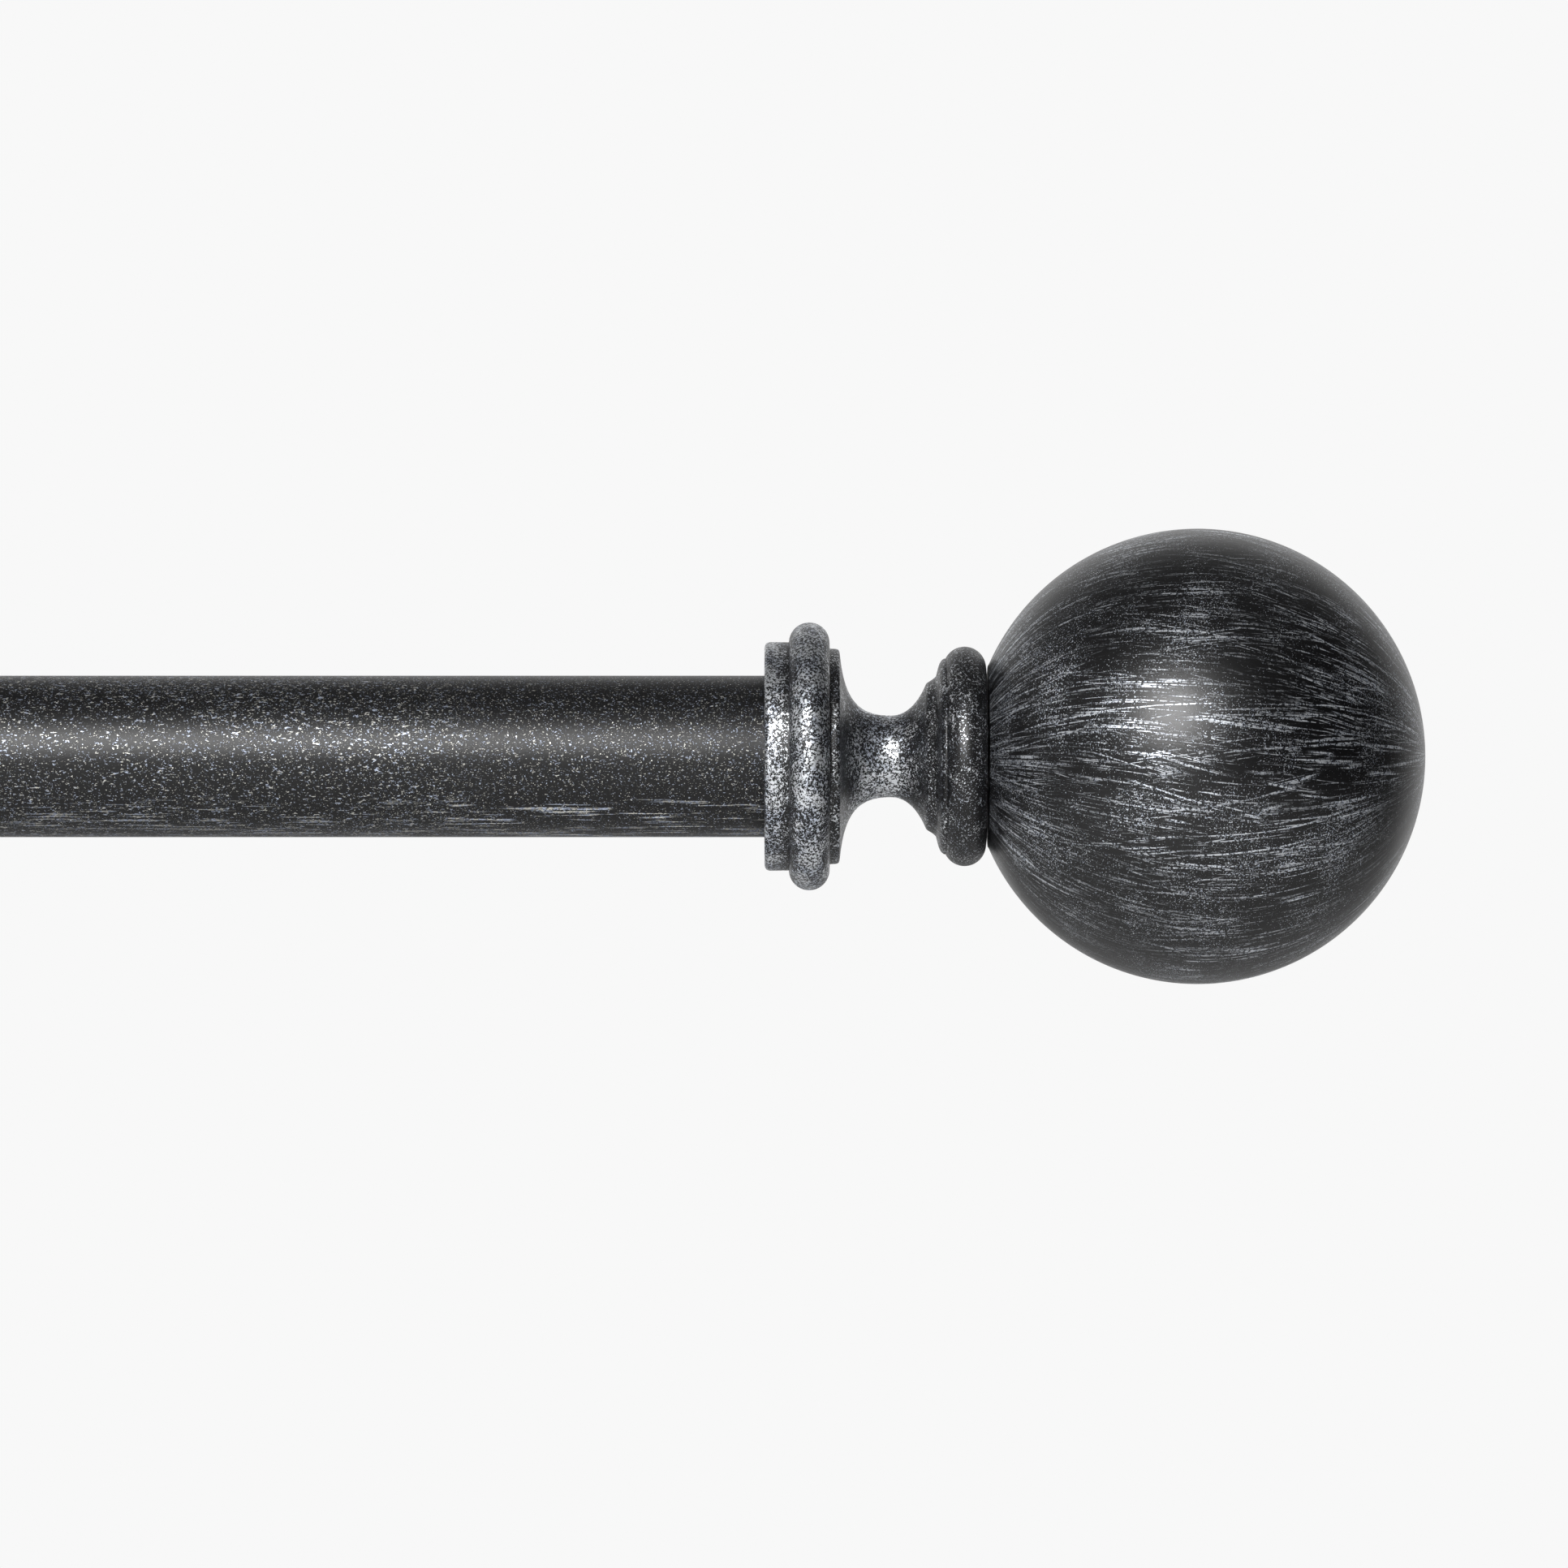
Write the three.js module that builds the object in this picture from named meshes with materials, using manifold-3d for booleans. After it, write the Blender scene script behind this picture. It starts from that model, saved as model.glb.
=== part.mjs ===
// Telescoping curtain rod with two ball finials and two wall brackets of adjustable projection.
// Millimetres. +X runs along the rod towards the right finial, -Y points into the room and +Z up.
// The origin is the centre of the right wall plate's back face, and the wall is the plane Y = 0.
import * as THREE from "three";
import { mergeVertices } from "three/addons/utils/BufferGeometryUtils.js";
import Module from "manifold-3d";

const wasm = await Module();
wasm.setup();

// Driving dimensions.
const gap = 0.3; // clearance between pieces that touch or slide
const rodSides = 20; // facets round the rod, the finials and the covers
const smallSides = 12; // facets round screws, bars and bosses
const projection = 89; // wall to rod axis with the arms pushed in
const rodSpan = 762; // from the right finial's collar to the left finial's collar
const rightCollarX = 170; // the right finial's collar face, from the right bracket
const leftBracketX = -496;

const outerRod = { radius: 12.7, wall: 0.9, length: 600 };
const innerRod = { radius: 11.1, wall: 0.75, length: 688.5 };
const stud = { radius: 3, inRod: 13, inBall: 43 };
const socket = { radius: outerRod.radius + gap, depth: 4.5, rodIn: 3 };
const ball = { radius: 35.8, wall: 1.4, centre: 68, flat: 35.1 };
const plug = { length: 20, flange: 0.9 };
const nut = { acrossCorners: 11.5, thickness: 5 };
const plate = { radius: 23, thickness: 2.5, hubRadius: 7, hubEnd: 10.5, holeRadius: 2.5, screwZ: 15 };
const sleeve = { radius: 8.5, collarRadius: 11, end: 60, lockAt: 55 };
const arm = { radius: 6, back: 12, end: 70.7, tappedRadius: 2.8, tappedDepth: 12 };
const cradle = { wall: 3, halfWidth: 8, sideTop: 6, bossRadius: 8, bossBack: 66, socketDepth: 5 };
const clampBoss = { radius: 5, bottom: 21 };
const thumb = { radius: 2, shank: 11, knobRadius: 5.5, knobHeight: 5.5, inKnob: 4, lobes: 10 };
const wallScrew = { radius: 2, headRadius: 4, headHeight: 2.2, shankEnd: 33, tip: 37 };
const anchor = { radius: 4, flangeRadius: 5, bore: 2.4, start: 2.2, taperAt: 28, length: 32 };
const liner = { flange: 1, flangeRadius: 14.5 };

// The collar, cove and beads of a finial neck: distances are from the collar's open face.
const neck = {
  bandRadius: 18,
  bandEdge: 0.6,
  bigBead: { x: 7, r: 17.85, radius: 3.2 },
  step: { from: 10.1, to: 11.4, r: 16.9 },
  coveStart: [11.7, 16.2],
  waist: [19.9, 6.42],
  flareEnd: [25.4, 11.4],
  ring: { x: 28.4, r: 15.4 },
  smallBead: { x: 31.45, r: 13.9, radius: 3.35 },
};

const finishes = {
  rod: { color: 0x2b2c2e, roughness: 0.45, metalness: 0.6 },
  finial: { color: 0x303133, roughness: 0.42, metalness: 0.6 },
  bracket: { color: 0x2e2f31, roughness: 0.45, metalness: 0.6 },
  zinc: { color: 0xb4b6b8, roughness: 0.35, metalness: 1 },
  blackPlastic: { color: 0x151516, roughness: 0.6, metalness: 0 },
  greyPlastic: { color: 0x8d9092, roughness: 0.6, metalness: 0 },
};

const group = new THREE.Group();

// Adds a named piece to the object.
function add(name, geometry, finish) {
  const mesh = new THREE.Mesh(geometry, new THREE.MeshStandardMaterial(finishes[finish]));
  mesh.name = name;
  group.add(mesh);
  return mesh;
}

// Points [along, radius] on an arc round a centre, with angles in degrees from the +along direction.
function arc(centreAlong, centreRadius, radius, fromDegrees, toDegrees, steps) {
  const points = [];
  for (let i = 0; i <= steps; i += 1) {
    const angle = THREE.MathUtils.degToRad(THREE.MathUtils.lerp(fromDegrees, toDegrees, i / steps));
    points.push([centreAlong + radius * Math.cos(angle), centreRadius + radius * Math.sin(angle)]);
  }
  return points;
}

// Points [along, radius] on a cubic curve between two points, pulled towards two handles.
function curve(start, handleA, handleB, end, steps) {
  const vectors = [start, handleA, handleB, end].map(([x, y]) => new THREE.Vector2(x, y));
  return new THREE.CubicBezierCurve(...vectors).getPoints(steps).map((p) => [p.x, p.y]);
}

// A solid of revolution about +X from a profile of [along, radius] points. The profile starts and
// ends on the axis, or its last point is joined to its first.
function turned(profile, sides = rodSides) {
  const points = profile.map(([along, radius]) => new THREE.Vector2(radius, along));
  if (profile[0][1] > 0) {
    points.push(points[0].clone());
  }
  if (THREE.ShapeUtils.area(points) < 0) {
    points.reverse();
  }
  return new THREE.LatheGeometry(points, sides).rotateZ(-Math.PI / 2);
}

// Turns a geometry made along +X to run out from the wall, along -Y.
const outFromWall = (geometry) => geometry.rotateZ(-Math.PI / 2);

// Turns a geometry made along +X to run upwards, along +Z.
const upwards = (geometry) => geometry.rotateY(-Math.PI / 2);

// Extrudes a shape drawn in the Y-Z plane along X, centred on X = 0.
function extrudedAlongX(shape, width, curveSegments = 12) {
  const geometry = new THREE.ExtrudeGeometry(shape, { depth: width, bevelEnabled: false, curveSegments });
  const toFrame = new THREE.Matrix4().makeBasis(
    new THREE.Vector3(0, 1, 0),
    new THREE.Vector3(0, 0, 1),
    new THREE.Vector3(1, 0, 0),
  );
  return geometry.applyMatrix4(toFrame).translate(-width / 2, 0, 0);
}

// A geometry as a solid that can be joined and cut.
function solid(geometry) {
  const bare = geometry.clone();
  bare.deleteAttribute("normal");
  bare.deleteAttribute("uv");
  const merged = mergeVertices(bare, 1e-4);
  const triVerts = new Uint32Array(merged.index.array);
  const vertProperties = new Float32Array(merged.attributes.position.array);
  return new wasm.Manifold(new wasm.Mesh({ numProp: 3, vertProperties, triVerts }));
}

// A joined or cut solid as a geometry.
function geometryOf(made) {
  const mesh = made.getMesh();
  const positions = new THREE.BufferAttribute(new Float32Array(mesh.vertProperties), 3);
  const geometry = new THREE.BufferGeometry().setAttribute("position", positions);
  return geometry.setIndex(new THREE.BufferAttribute(new Uint32Array(mesh.triVerts), 1));
}

// A plain round bar along +X.
const bar = (from, to, radius, sides = smallSides) =>
  turned([[from, 0], [from, radius], [to, radius], [to, 0]], sides);

// A plain ring along +X.
const ring = (from, to, inner, outer, sides = rodSides) =>
  turned([[from, inner], [from, outer], [to, outer], [to, inner]], sides);

// ---- Rod ----

const outerEnd = rightCollarX + socket.rodIn;
const outerMouth = outerEnd - outerRod.length;
const leftCollarX = rightCollarX - rodSpan;
const innerEnd = leftCollarX - socket.rodIn;
const innerMouth = innerEnd + innerRod.length;

const onRodAxis = (geometry, x = 0) => geometry.translate(x, -projection, 0);

function addTube(name, tube, from, to) {
  add(name, onRodAxis(ring(from, to, tube.radius - tube.wall, tube.radius)), "rod");
}

// The threaded plug in a tube's end. It is made for a right-hand end and mirrored for the left.
function endPlug(tube) {
  const body = tube.radius - tube.wall - gap;
  const flangeFrom = socket.rodIn + gap;
  const flangeTo = flangeFrom + plug.flange;
  return turned([
    [socket.rodIn - plug.length, stud.radius + gap],
    [socket.rodIn - plug.length, body - 1],
    [socket.rodIn - plug.length + 1.5, body],
    [flangeFrom, body],
    [flangeFrom, tube.radius - 0.2],
    [flangeTo, tube.radius - 0.2],
    [flangeTo, stud.radius + gap],
  ]);
}

function addRod() {
  addTube("outer_rod", outerRod, outerMouth, outerEnd);
  addTube("inner_rod", innerRod, innerEnd, innerMouth);

  // A trim ring caps the outer tube's mouth, so that curtain rings don't snag on its edge.
  const lip = outerMouth - gap;
  add(
    "outer_rod_mouth_ring",
    onRodAxis(
      turned([
        [lip - 1.5, innerRod.radius + gap],
        [lip - 1.5, outerRod.radius + 0.4],
        [lip - 0.9, outerRod.radius + 1],
        [lip + 5, outerRod.radius + 1],
        [lip + 5, outerRod.radius + gap],
        [lip, outerRod.radius + gap],
        [lip, innerRod.radius + gap],
      ]),
    ),
    "blackPlastic",
  );

  // A cap on the hidden end of the inner tube glides in the outer tube.
  const capBody = innerRod.radius - innerRod.wall - gap;
  const capFlange = outerRod.radius - outerRod.wall - gap;
  add(
    "inner_rod_glide_cap",
    onRodAxis(
      turned([
        [innerMouth - 12, 0],
        [innerMouth - 12, capBody],
        [innerMouth + gap, capBody],
        [innerMouth + gap, capFlange],
        [innerMouth + 4, capFlange],
        [innerMouth + 4, 0],
      ]),
    ),
    "blackPlastic",
  );

  add("right_end_plug", onRodAxis(endPlug(outerRod), rightCollarX), "blackPlastic");
  const leftPlug = endPlug(innerRod).rotateZ(Math.PI);
  add("left_end_plug", onRodAxis(leftPlug, leftCollarX), "blackPlastic");

  // A sleeve brings the inner tube's end up to the outer tube's diameter, for the same finial.
  const adapter = ring(leftCollarX - socket.rodIn, leftCollarX + 9, innerRod.radius + gap, outerRod.radius);
  add("left_end_adapter", onRodAxis(adapter), "blackPlastic");
}

// ---- Finials ----

// Band, big bead, step, cove, flare, ring and small bead, turned about the rod's axis.
function neckProfile() {
  const { bandRadius, bandEdge, bigBead, step, coveStart, waist, flareEnd, smallBead } = neck;
  return [
    [socket.depth, stud.radius + gap],
    [socket.depth, socket.radius],
    [0, socket.radius],
    ...arc(bandEdge, bandRadius - bandEdge, bandEdge, 180, 90, 1),
    ...arc(bigBead.x, bigBead.r, bigBead.radius, 177, -15, 8),
    [step.from, step.r],
    ...arc(step.to, step.r - 0.4, 0.4, 90, 0, 1),
    ...curve(coveStart, [12.55, 8.4], [15.1, waist[1]], waist, 6),
    ...curve(waist, [22.5, waist[1]], [24.25, 8.7], flareEnd, 4).slice(1),
    [26.0, 12.0],
    [26.9, 12.6],
    [27.5, 14.6],
    [27.9, 15.2],
    [neck.ring.x, neck.ring.r],
    ...arc(smallBead.x, smallBead.r, smallBead.radius, 150, 0, 6),
    [smallBead.x + smallBead.radius, stud.radius + gap],
  ];
}

// A hollow pressed ball with a flat where it sits on the neck, and a hole there for the stud.
function ballProfile() {
  const inner = ball.radius - ball.wall;
  const innerFlat = ball.flat + ball.wall;
  const flatAngle = (radius, flat) => THREE.MathUtils.radToDeg(Math.acos((flat - ball.centre) / radius));
  const inside = arc(ball.centre, 0, inner, 0, flatAngle(inner, innerFlat), 8);
  const nearHalf = arc(ball.centre, 0, ball.radius, flatAngle(ball.radius, ball.flat), 90, 6);
  const farHalf = arc(ball.centre, 0, ball.radius, 90, 0, 7).slice(1);
  inside[0][1] = 0;
  farHalf[farHalf.length - 1][1] = 0;
  const hole = stud.radius + gap;
  return [...inside, [innerFlat, hole], [ball.flat, hole], ...nearHalf, ...farHalf];
}

function hexNut() {
  const shape = new THREE.Shape();
  for (let corner = 0; corner < 6; corner += 1) {
    const angle = (corner * Math.PI) / 3;
    const point = [(nut.acrossCorners / 2) * Math.cos(angle), (nut.acrossCorners / 2) * Math.sin(angle)];
    if (corner === 0) {
      shape.moveTo(...point);
    } else {
      shape.lineTo(...point);
    }
  }
  shape.closePath();
  shape.holes.push(new THREE.Path().absarc(0, 0, stud.radius + gap, 0, 2 * Math.PI, true));
  return extrudedAlongX(shape, nut.thickness, 8).translate(nut.thickness / 2, 0, 0);
}

// side is 1 for the right finial and -1 for the left, which points the other way along the rod.
function addFinial(name, collarX, side) {
  const place = (geometry) => onRodAxis(side > 0 ? geometry : geometry.rotateZ(Math.PI), collarX);
  add(`${name}_finial_neck`, place(turned(neckProfile())), "finial");
  add(`${name}_finial_ball`, place(turned(ballProfile())), "finial");
  const nutX = ball.flat + ball.wall + gap;
  add(`${name}_finial_ball_nut`, place(hexNut().translate(nutX, 0, 0)), "zinc");
  add(`${name}_finial_stud`, place(bar(-stud.inRod, stud.inBall, stud.radius)), "zinc");
}

// ---- Brackets ----

// A disc with a hub that the sleeve screws on to, and a screw hole above and below.
function wallPlate() {
  const disc = turned([
    [0, 0],
    [0, plate.radius],
    [plate.thickness, plate.radius],
    [plate.thickness, plate.hubRadius],
    [plate.hubEnd, plate.hubRadius],
    [plate.hubEnd, 0],
  ]);
  let made = solid(outFromWall(disc));
  for (const z of [plate.screwZ, -plate.screwZ]) {
    const hole = outFromWall(bar(-1, plate.thickness + 1, plate.holeRadius)).translate(0, 0, z);
    made = made.subtract(solid(hole));
  }
  return geometryOf(made);
}

// A hollow rosette with a band, a bead, a step, a cove and a lip round the sleeve.
function wallCover() {
  const hole = sleeve.radius + 0.4;
  return outFromWall(
    turned([
      [0, 27.2],
      [0, 29],
      ...arc(2.5, 28.5, 0.5, 90, 0, 1),
      ...arc(4, 25.6, 2.4, 100, -10, 5),
      [6.4, 23.6],
      [7.2, 22.8],
      ...curve([7.4, 22.4], [8, 15.5], [10.5, 12.6], [15.5, 12], 5),
      ...arc(17, 11.6, 1.5, 150, 0, 4),
      [18.5, hole],
      [14, hole],
      [14, 10.4],
      ...curve([13.6, 10.4], [9, 11], [6.4, 14.5], [5.7, 20.8], 4),
      [4.6, 23],
      [2, 27.2],
    ]),
  );
}

// A tube fixed on the plate's hub, with a collar at its mouth for the lock screw.
function armSleeve() {
  const { radius, collarRadius, end, lockAt } = sleeve;
  const bore = arm.radius + gap;
  const hubBore = plate.hubRadius + gap;
  const hubBoreEnd = plate.hubEnd + gap;
  const tube = turned(
    [
      [plate.thickness + gap, hubBore],
      [plate.thickness + gap, radius],
      [end - 10.6, radius],
      [end - 9.8, radius + 1.3],
      [end - 9, radius + 1.5],
      ...arc(end - 7.4, collarRadius - 1, 1, 180, 90, 3),
      ...arc(end - 2.6, collarRadius - 1, 1, 90, 0, 3),
      [end, radius + 0.9],
      [end, bore],
      [hubBoreEnd, bore],
      [hubBoreEnd, hubBore],
    ],
    smallSides,
  );
  const screwHole = upwards(bar(-collarRadius - 2, 0, thumb.radius + gap)).translate(0, -lockAt, 0);
  return geometryOf(solid(outFromWall(tube)).subtract(solid(screwHole)));
}

// A round bar with a tapped hole in its front end for the cradle's screw.
function armBar() {
  const { radius, back, end, tappedRadius, tappedDepth } = arm;
  return outFromWall(
    turned(
      [
        [back, 0],
        [back, radius - 0.6],
        [back + 0.6, radius],
        [end, radius],
        [end, tappedRadius],
        [end - tappedDepth, tappedRadius],
        [end - tappedDepth, 0],
      ],
      smallSides,
    ),
  );
}

// A U open at the top, between two radii round the rod's axis, with rounded tips.
function uShape(inner, outer, top) {
  const tip = (outer - inner) / 2;
  const middle = (outer + inner) / 2;
  const shape = new THREE.Shape();
  shape.moveTo(-outer, top);
  shape.lineTo(-outer, 0);
  shape.absarc(0, 0, outer, Math.PI, 2 * Math.PI, false);
  shape.lineTo(outer, top);
  shape.absarc(middle, top, tip, 0, Math.PI, false);
  shape.lineTo(inner, 0);
  shape.absarc(0, 0, inner, 2 * Math.PI, Math.PI, true);
  shape.lineTo(-inner, top);
  shape.absarc(-middle, top, tip, 0, Math.PI, false);
  return shape;
}

const cradleInner = outerRod.radius + gap;
const cradleOuter = cradleInner + cradle.wall;
const screwHeadAt = projection - cradleInner - gap; // the fixing screw's head, just inside the U

// The U with a boss behind for the arm and a boss below for the clamp screw.
function rodCradle() {
  const { halfWidth, sideTop, bossRadius, bossBack, socketDepth } = cradle;
  const u = extrudedAlongX(uShape(cradleInner, cradleOuter, sideTop), 2 * halfWidth);
  const backBoss = outFromWall(bar(bossBack, projection - cradleInner - 0.6, bossRadius));
  const lowerBoss = upwards(bar(-clampBoss.bottom, -cradleInner - 0.8, clampBoss.radius));
  const armSocket = outFromWall(bar(bossBack - 1, bossBack + socketDepth, arm.radius + gap));
  const screwWay = outFromWall(bar(bossBack, projection - cradleInner + 2, arm.tappedRadius));
  const headSeat = outFromWall(
    turned(
      [
        [screwHeadAt - 2.6, 0],
        [screwHeadAt - 2.6, arm.tappedRadius],
        [screwHeadAt - 0.2, 5],
        [projection - cradleInner + 2, 5],
        [projection - cradleInner + 2, 0],
      ],
      smallSides,
    ),
  );
  const clampWay = upwards(bar(-clampBoss.bottom - 1, -cradleInner + 2, thumb.radius + gap));
  const onRod = [u, lowerBoss, clampWay];
  onRod.forEach((geometry) => geometry.translate(0, -projection, 0));
  let made = solid(u).add(solid(backBoss)).add(solid(lowerBoss));
  const cuts = [armSocket, screwWay, headSeat, clampWay];
  for (const cut of cuts) {
    made = made.subtract(solid(cut));
  }
  return geometryOf(made);
}

// A countersunk machine screw from inside the U into the arm bar's end.
function cradleFixingScrew() {
  const shankRadius = arm.tappedRadius - gap;
  return outFromWall(
    turned(
      [
        [arm.end - 10, 0],
        [arm.end - 10, shankRadius],
        [screwHeadAt - 2.3, shankRadius],
        [screwHeadAt - 0.2, 4.6],
        [screwHeadAt, 4.6],
        [screwHeadAt, 0],
      ],
      smallSides,
    ),
  );
}

// A nylon U that packs the cradle out to the inner tube, with a rim at each side of the cradle.
function cradleLiner() {
  const inner = innerRod.radius + gap;
  const width = 2 * cradle.halfWidth + 2 * gap;
  const bed = extrudedAlongX(uShape(inner, cradleInner - gap, cradle.sideTop), width + 2 * liner.flange, 10);
  let made = solid(bed);
  for (const side of [1, -1]) {
    const rim = extrudedAlongX(uShape(inner, liner.flangeRadius, cradle.sideTop - 1), liner.flange, 10);
    made = made.add(solid(rim.translate((side * (width + liner.flange)) / 2, 0, 0)));
  }
  const hole = upwards(bar(-cradleInner - 1, -inner + 1, thumb.radius + gap));
  return geometryOf(made.subtract(solid(hole))).translate(0, -projection, 0);
}

// A thumb screw points up, with its tip at the origin: a threaded stud and a fluted knob pressed on it.
function thumbScrewStud() {
  const { radius, shank, inKnob } = thumb;
  const end = -shank - inKnob;
  const tip = radius - 0.5;
  return upwards(turned([[end, 0], [end, radius], [-1.4, radius], [-1, tip], [0, tip], [0, 0]], smallSides));
}

function thumbScrewKnob() {
  const { radius, shank, knobRadius, knobHeight, inKnob, lobes } = thumb;
  const shape = new THREE.Shape();
  const count = lobes * 4;
  for (let i = 0; i < count; i += 1) {
    const angle = (i / count) * 2 * Math.PI;
    const reach = knobRadius - 0.25 + 0.25 * Math.cos(lobes * angle);
    const point = [reach * Math.cos(angle), reach * Math.sin(angle)];
    if (i === 0) {
      shape.moveTo(...point);
    } else {
      shape.lineTo(...point);
    }
  }
  shape.closePath();
  const body = new THREE.ExtrudeGeometry(shape, { depth: knobHeight, bevelEnabled: false });
  body.translate(0, 0, -shank - knobHeight);
  const hole = upwards(bar(-shank - inKnob - gap, -shank + 1, radius + gap));
  return geometryOf(solid(body).subtract(solid(hole)));
}

// A pan-head screw through the plate into its anchor.
function wallScrewShape() {
  const { radius, headRadius, headHeight, shankEnd, tip } = wallScrew;
  const under = plate.thickness + gap;
  return outFromWall(
    turned(
      [
        [-tip, 0],
        [-shankEnd, radius],
        [under, radius],
        [under, headRadius],
        [under + headHeight * 0.5, headRadius],
        [under + headHeight, headRadius * 0.6],
        [under + headHeight, 0],
      ],
      smallSides,
    ),
  );
}

// A sleeve in the wall, sunk a little so that the plate lies flat.
function wallAnchorShape() {
  const { radius, flangeRadius, bore, start, taperAt, length } = anchor;
  return outFromWall(
    turned(
      [
        [-start, bore],
        [-start, flangeRadius],
        [-start - 1, flangeRadius],
        [-start - 1, radius],
        [-taperAt, radius],
        [-length, radius - 1],
        [-length, bore],
      ],
      smallSides,
    ),
  );
}

// A thumb screw in two pieces, with its tip at a point under what it presses on.
function addThumbScrew(name, x, y, tipZ) {
  add(`${name}_stud`, thumbScrewStud().translate(x, y, tipZ), "zinc");
  add(`${name}_knob`, thumbScrewKnob().translate(x, y, tipZ), "bracket");
}

// A whole bracket at x, holding a tube of the given radius.
function addBracket(name, x, tubeRadius) {
  add(`${name}_wall_plate`, wallPlate().translate(x, 0, 0), "zinc");
  add(`${name}_wall_cover`, wallCover().translate(x, 0, 0), "bracket");
  add(`${name}_arm_sleeve`, armSleeve().translate(x, 0, 0), "bracket");
  add(`${name}_arm_bar`, armBar().translate(x, 0, 0), "bracket");
  add(`${name}_rod_cradle`, rodCradle().translate(x, 0, 0), "bracket");
  add(`${name}_cradle_fixing_screw`, cradleFixingScrew().translate(x, 0, 0), "zinc");
  addThumbScrew(`${name}_clamp_screw`, x, -projection, -tubeRadius - gap);
  addThumbScrew(`${name}_lock_screw`, x, -sleeve.lockAt, -arm.radius - gap);
  for (const [level, z] of [["upper", plate.screwZ], ["lower", -plate.screwZ]]) {
    add(`${name}_wall_screw_${level}`, wallScrewShape().translate(x, 0, z), "zinc");
    add(`${name}_wall_anchor_${level}`, wallAnchorShape().translate(x, 0, z), "greyPlastic");
  }
}

addRod();
addFinial("right", rightCollarX, 1);
addFinial("left", leftCollarX, -1);
addBracket("right", 0, outerRod.radius);
addBracket("left", leftBracketX, innerRod.radius);
add("left_cradle_liner", cradleLiner().translate(leftBracketX, 0, 0), "blackPlastic");

export default group;
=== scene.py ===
import math

import bmesh
import bpy
import numpy as np
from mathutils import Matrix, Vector


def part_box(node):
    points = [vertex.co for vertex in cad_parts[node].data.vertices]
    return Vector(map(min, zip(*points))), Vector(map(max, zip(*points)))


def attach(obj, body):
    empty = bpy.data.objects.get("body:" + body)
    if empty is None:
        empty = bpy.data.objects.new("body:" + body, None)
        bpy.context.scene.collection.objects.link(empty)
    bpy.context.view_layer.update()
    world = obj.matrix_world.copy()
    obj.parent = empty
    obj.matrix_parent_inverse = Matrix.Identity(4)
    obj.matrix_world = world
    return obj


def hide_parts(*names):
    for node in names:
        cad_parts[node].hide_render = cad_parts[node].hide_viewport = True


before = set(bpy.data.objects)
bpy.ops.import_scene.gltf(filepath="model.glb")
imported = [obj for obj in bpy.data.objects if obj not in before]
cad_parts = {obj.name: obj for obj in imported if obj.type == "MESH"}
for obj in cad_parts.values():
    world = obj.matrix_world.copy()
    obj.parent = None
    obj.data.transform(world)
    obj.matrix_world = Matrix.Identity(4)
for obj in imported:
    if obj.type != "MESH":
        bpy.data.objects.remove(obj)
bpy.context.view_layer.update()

# Curtain rod with ball finials on two wall brackets. Shapes are worked out in millimetres
# and put into the meshes in metres, in the frame's own axes: +X along the rod, -Y into the room.
metre = 0.001  # one millimetre in metres


def centreOf(node):
    low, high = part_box(node)
    return np.array((low + high) / 2) / metre


def spanOf(node, axis):
    low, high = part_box(node)
    return low[axis] / metre, high[axis] / metre


# Where things are, read from the frame.
rodY = centreOf("outer_rod")[1]
rodZ = centreOf("outer_rod")[2]
outerFrom, outerTo = spanOf("outer_rod", 0)
innerFrom, innerTo = spanOf("inner_rod", 0)
rightCollar = spanOf("right_finial_neck", 0)[0]
leftCollar = spanOf("left_finial_neck", 0)[1]
bracketX = {side: centreOf(side + "_wall_plate")[0] for side in ("right", "left")}

# Right-handed sets of axes that a turned piece is made about: along, then round from side to up.
towardsRight = np.array([[1, 0, 0], [0, 1, 0], [0, 0, 1]])
towardsLeft = np.array([[-1, 0, 0], [0, -1, 0], [0, 0, 1]])
outFromWall = np.array([[0, -1, 0], [1, 0, 0], [0, 0, 1]])
upwards = np.array([[0, 0, 1], [1, 0, 0], [0, 1, 0]])


def arc(along, radius, size, fromDeg, toDeg, count=14):
    # points on a circle round (along, radius), by angle from the along direction
    turn = np.radians(np.linspace(fromDeg, toDeg, count))
    return np.column_stack([along + size * np.cos(turn), radius + size * np.sin(turn)])


def bend(start, pullA, pullB, end, count=22):
    # a cubic Bezier curve: (1-t)^3 start + 3(1-t)^2 t pullA + 3(1-t) t^2 pullB + t^3 end
    t = np.linspace(0, 1, count)[:, None]
    a, b, c, d = (np.array(p, float) for p in (start, pullA, pullB, end))
    return (1 - t) ** 3 * a + 3 * (1 - t) ** 2 * t * b + 3 * (1 - t) * t**2 * c + t**3 * d


def eased(corners, count=5):
    # a polyline of (along, radius, easing): each corner becomes a short parabola that starts and
    # ends its easing away from the corner, as a broken edge does
    corners = np.array(corners, float)
    points = []
    for i, (along, radius, ease) in enumerate(corners):
        here = np.array([along, radius])
        if ease <= 0 or i in (0, len(corners) - 1):
            points.append(here[None])
            continue
        before, after = corners[i - 1, :2] - here, corners[i + 1, :2] - here
        first = here + before * min(ease / np.linalg.norm(before), 0.49)
        last = here + after * min(ease / np.linalg.norm(after), 0.49)
        t = np.linspace(0, 1, count)[:, None]
        points.append((1 - t) ** 2 * first + 2 * t * (1 - t) * here + t**2 * last)
    return np.vstack(points)


def joined(*parts):
    # several outlines end to end, without points that stand on each other
    points = np.vstack([np.atleast_2d(np.array(p, float)) for p in parts])
    keep = np.r_[True, np.linalg.norm(np.diff(points, axis=0), axis=1) > 1e-4]
    return points[keep]


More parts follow.
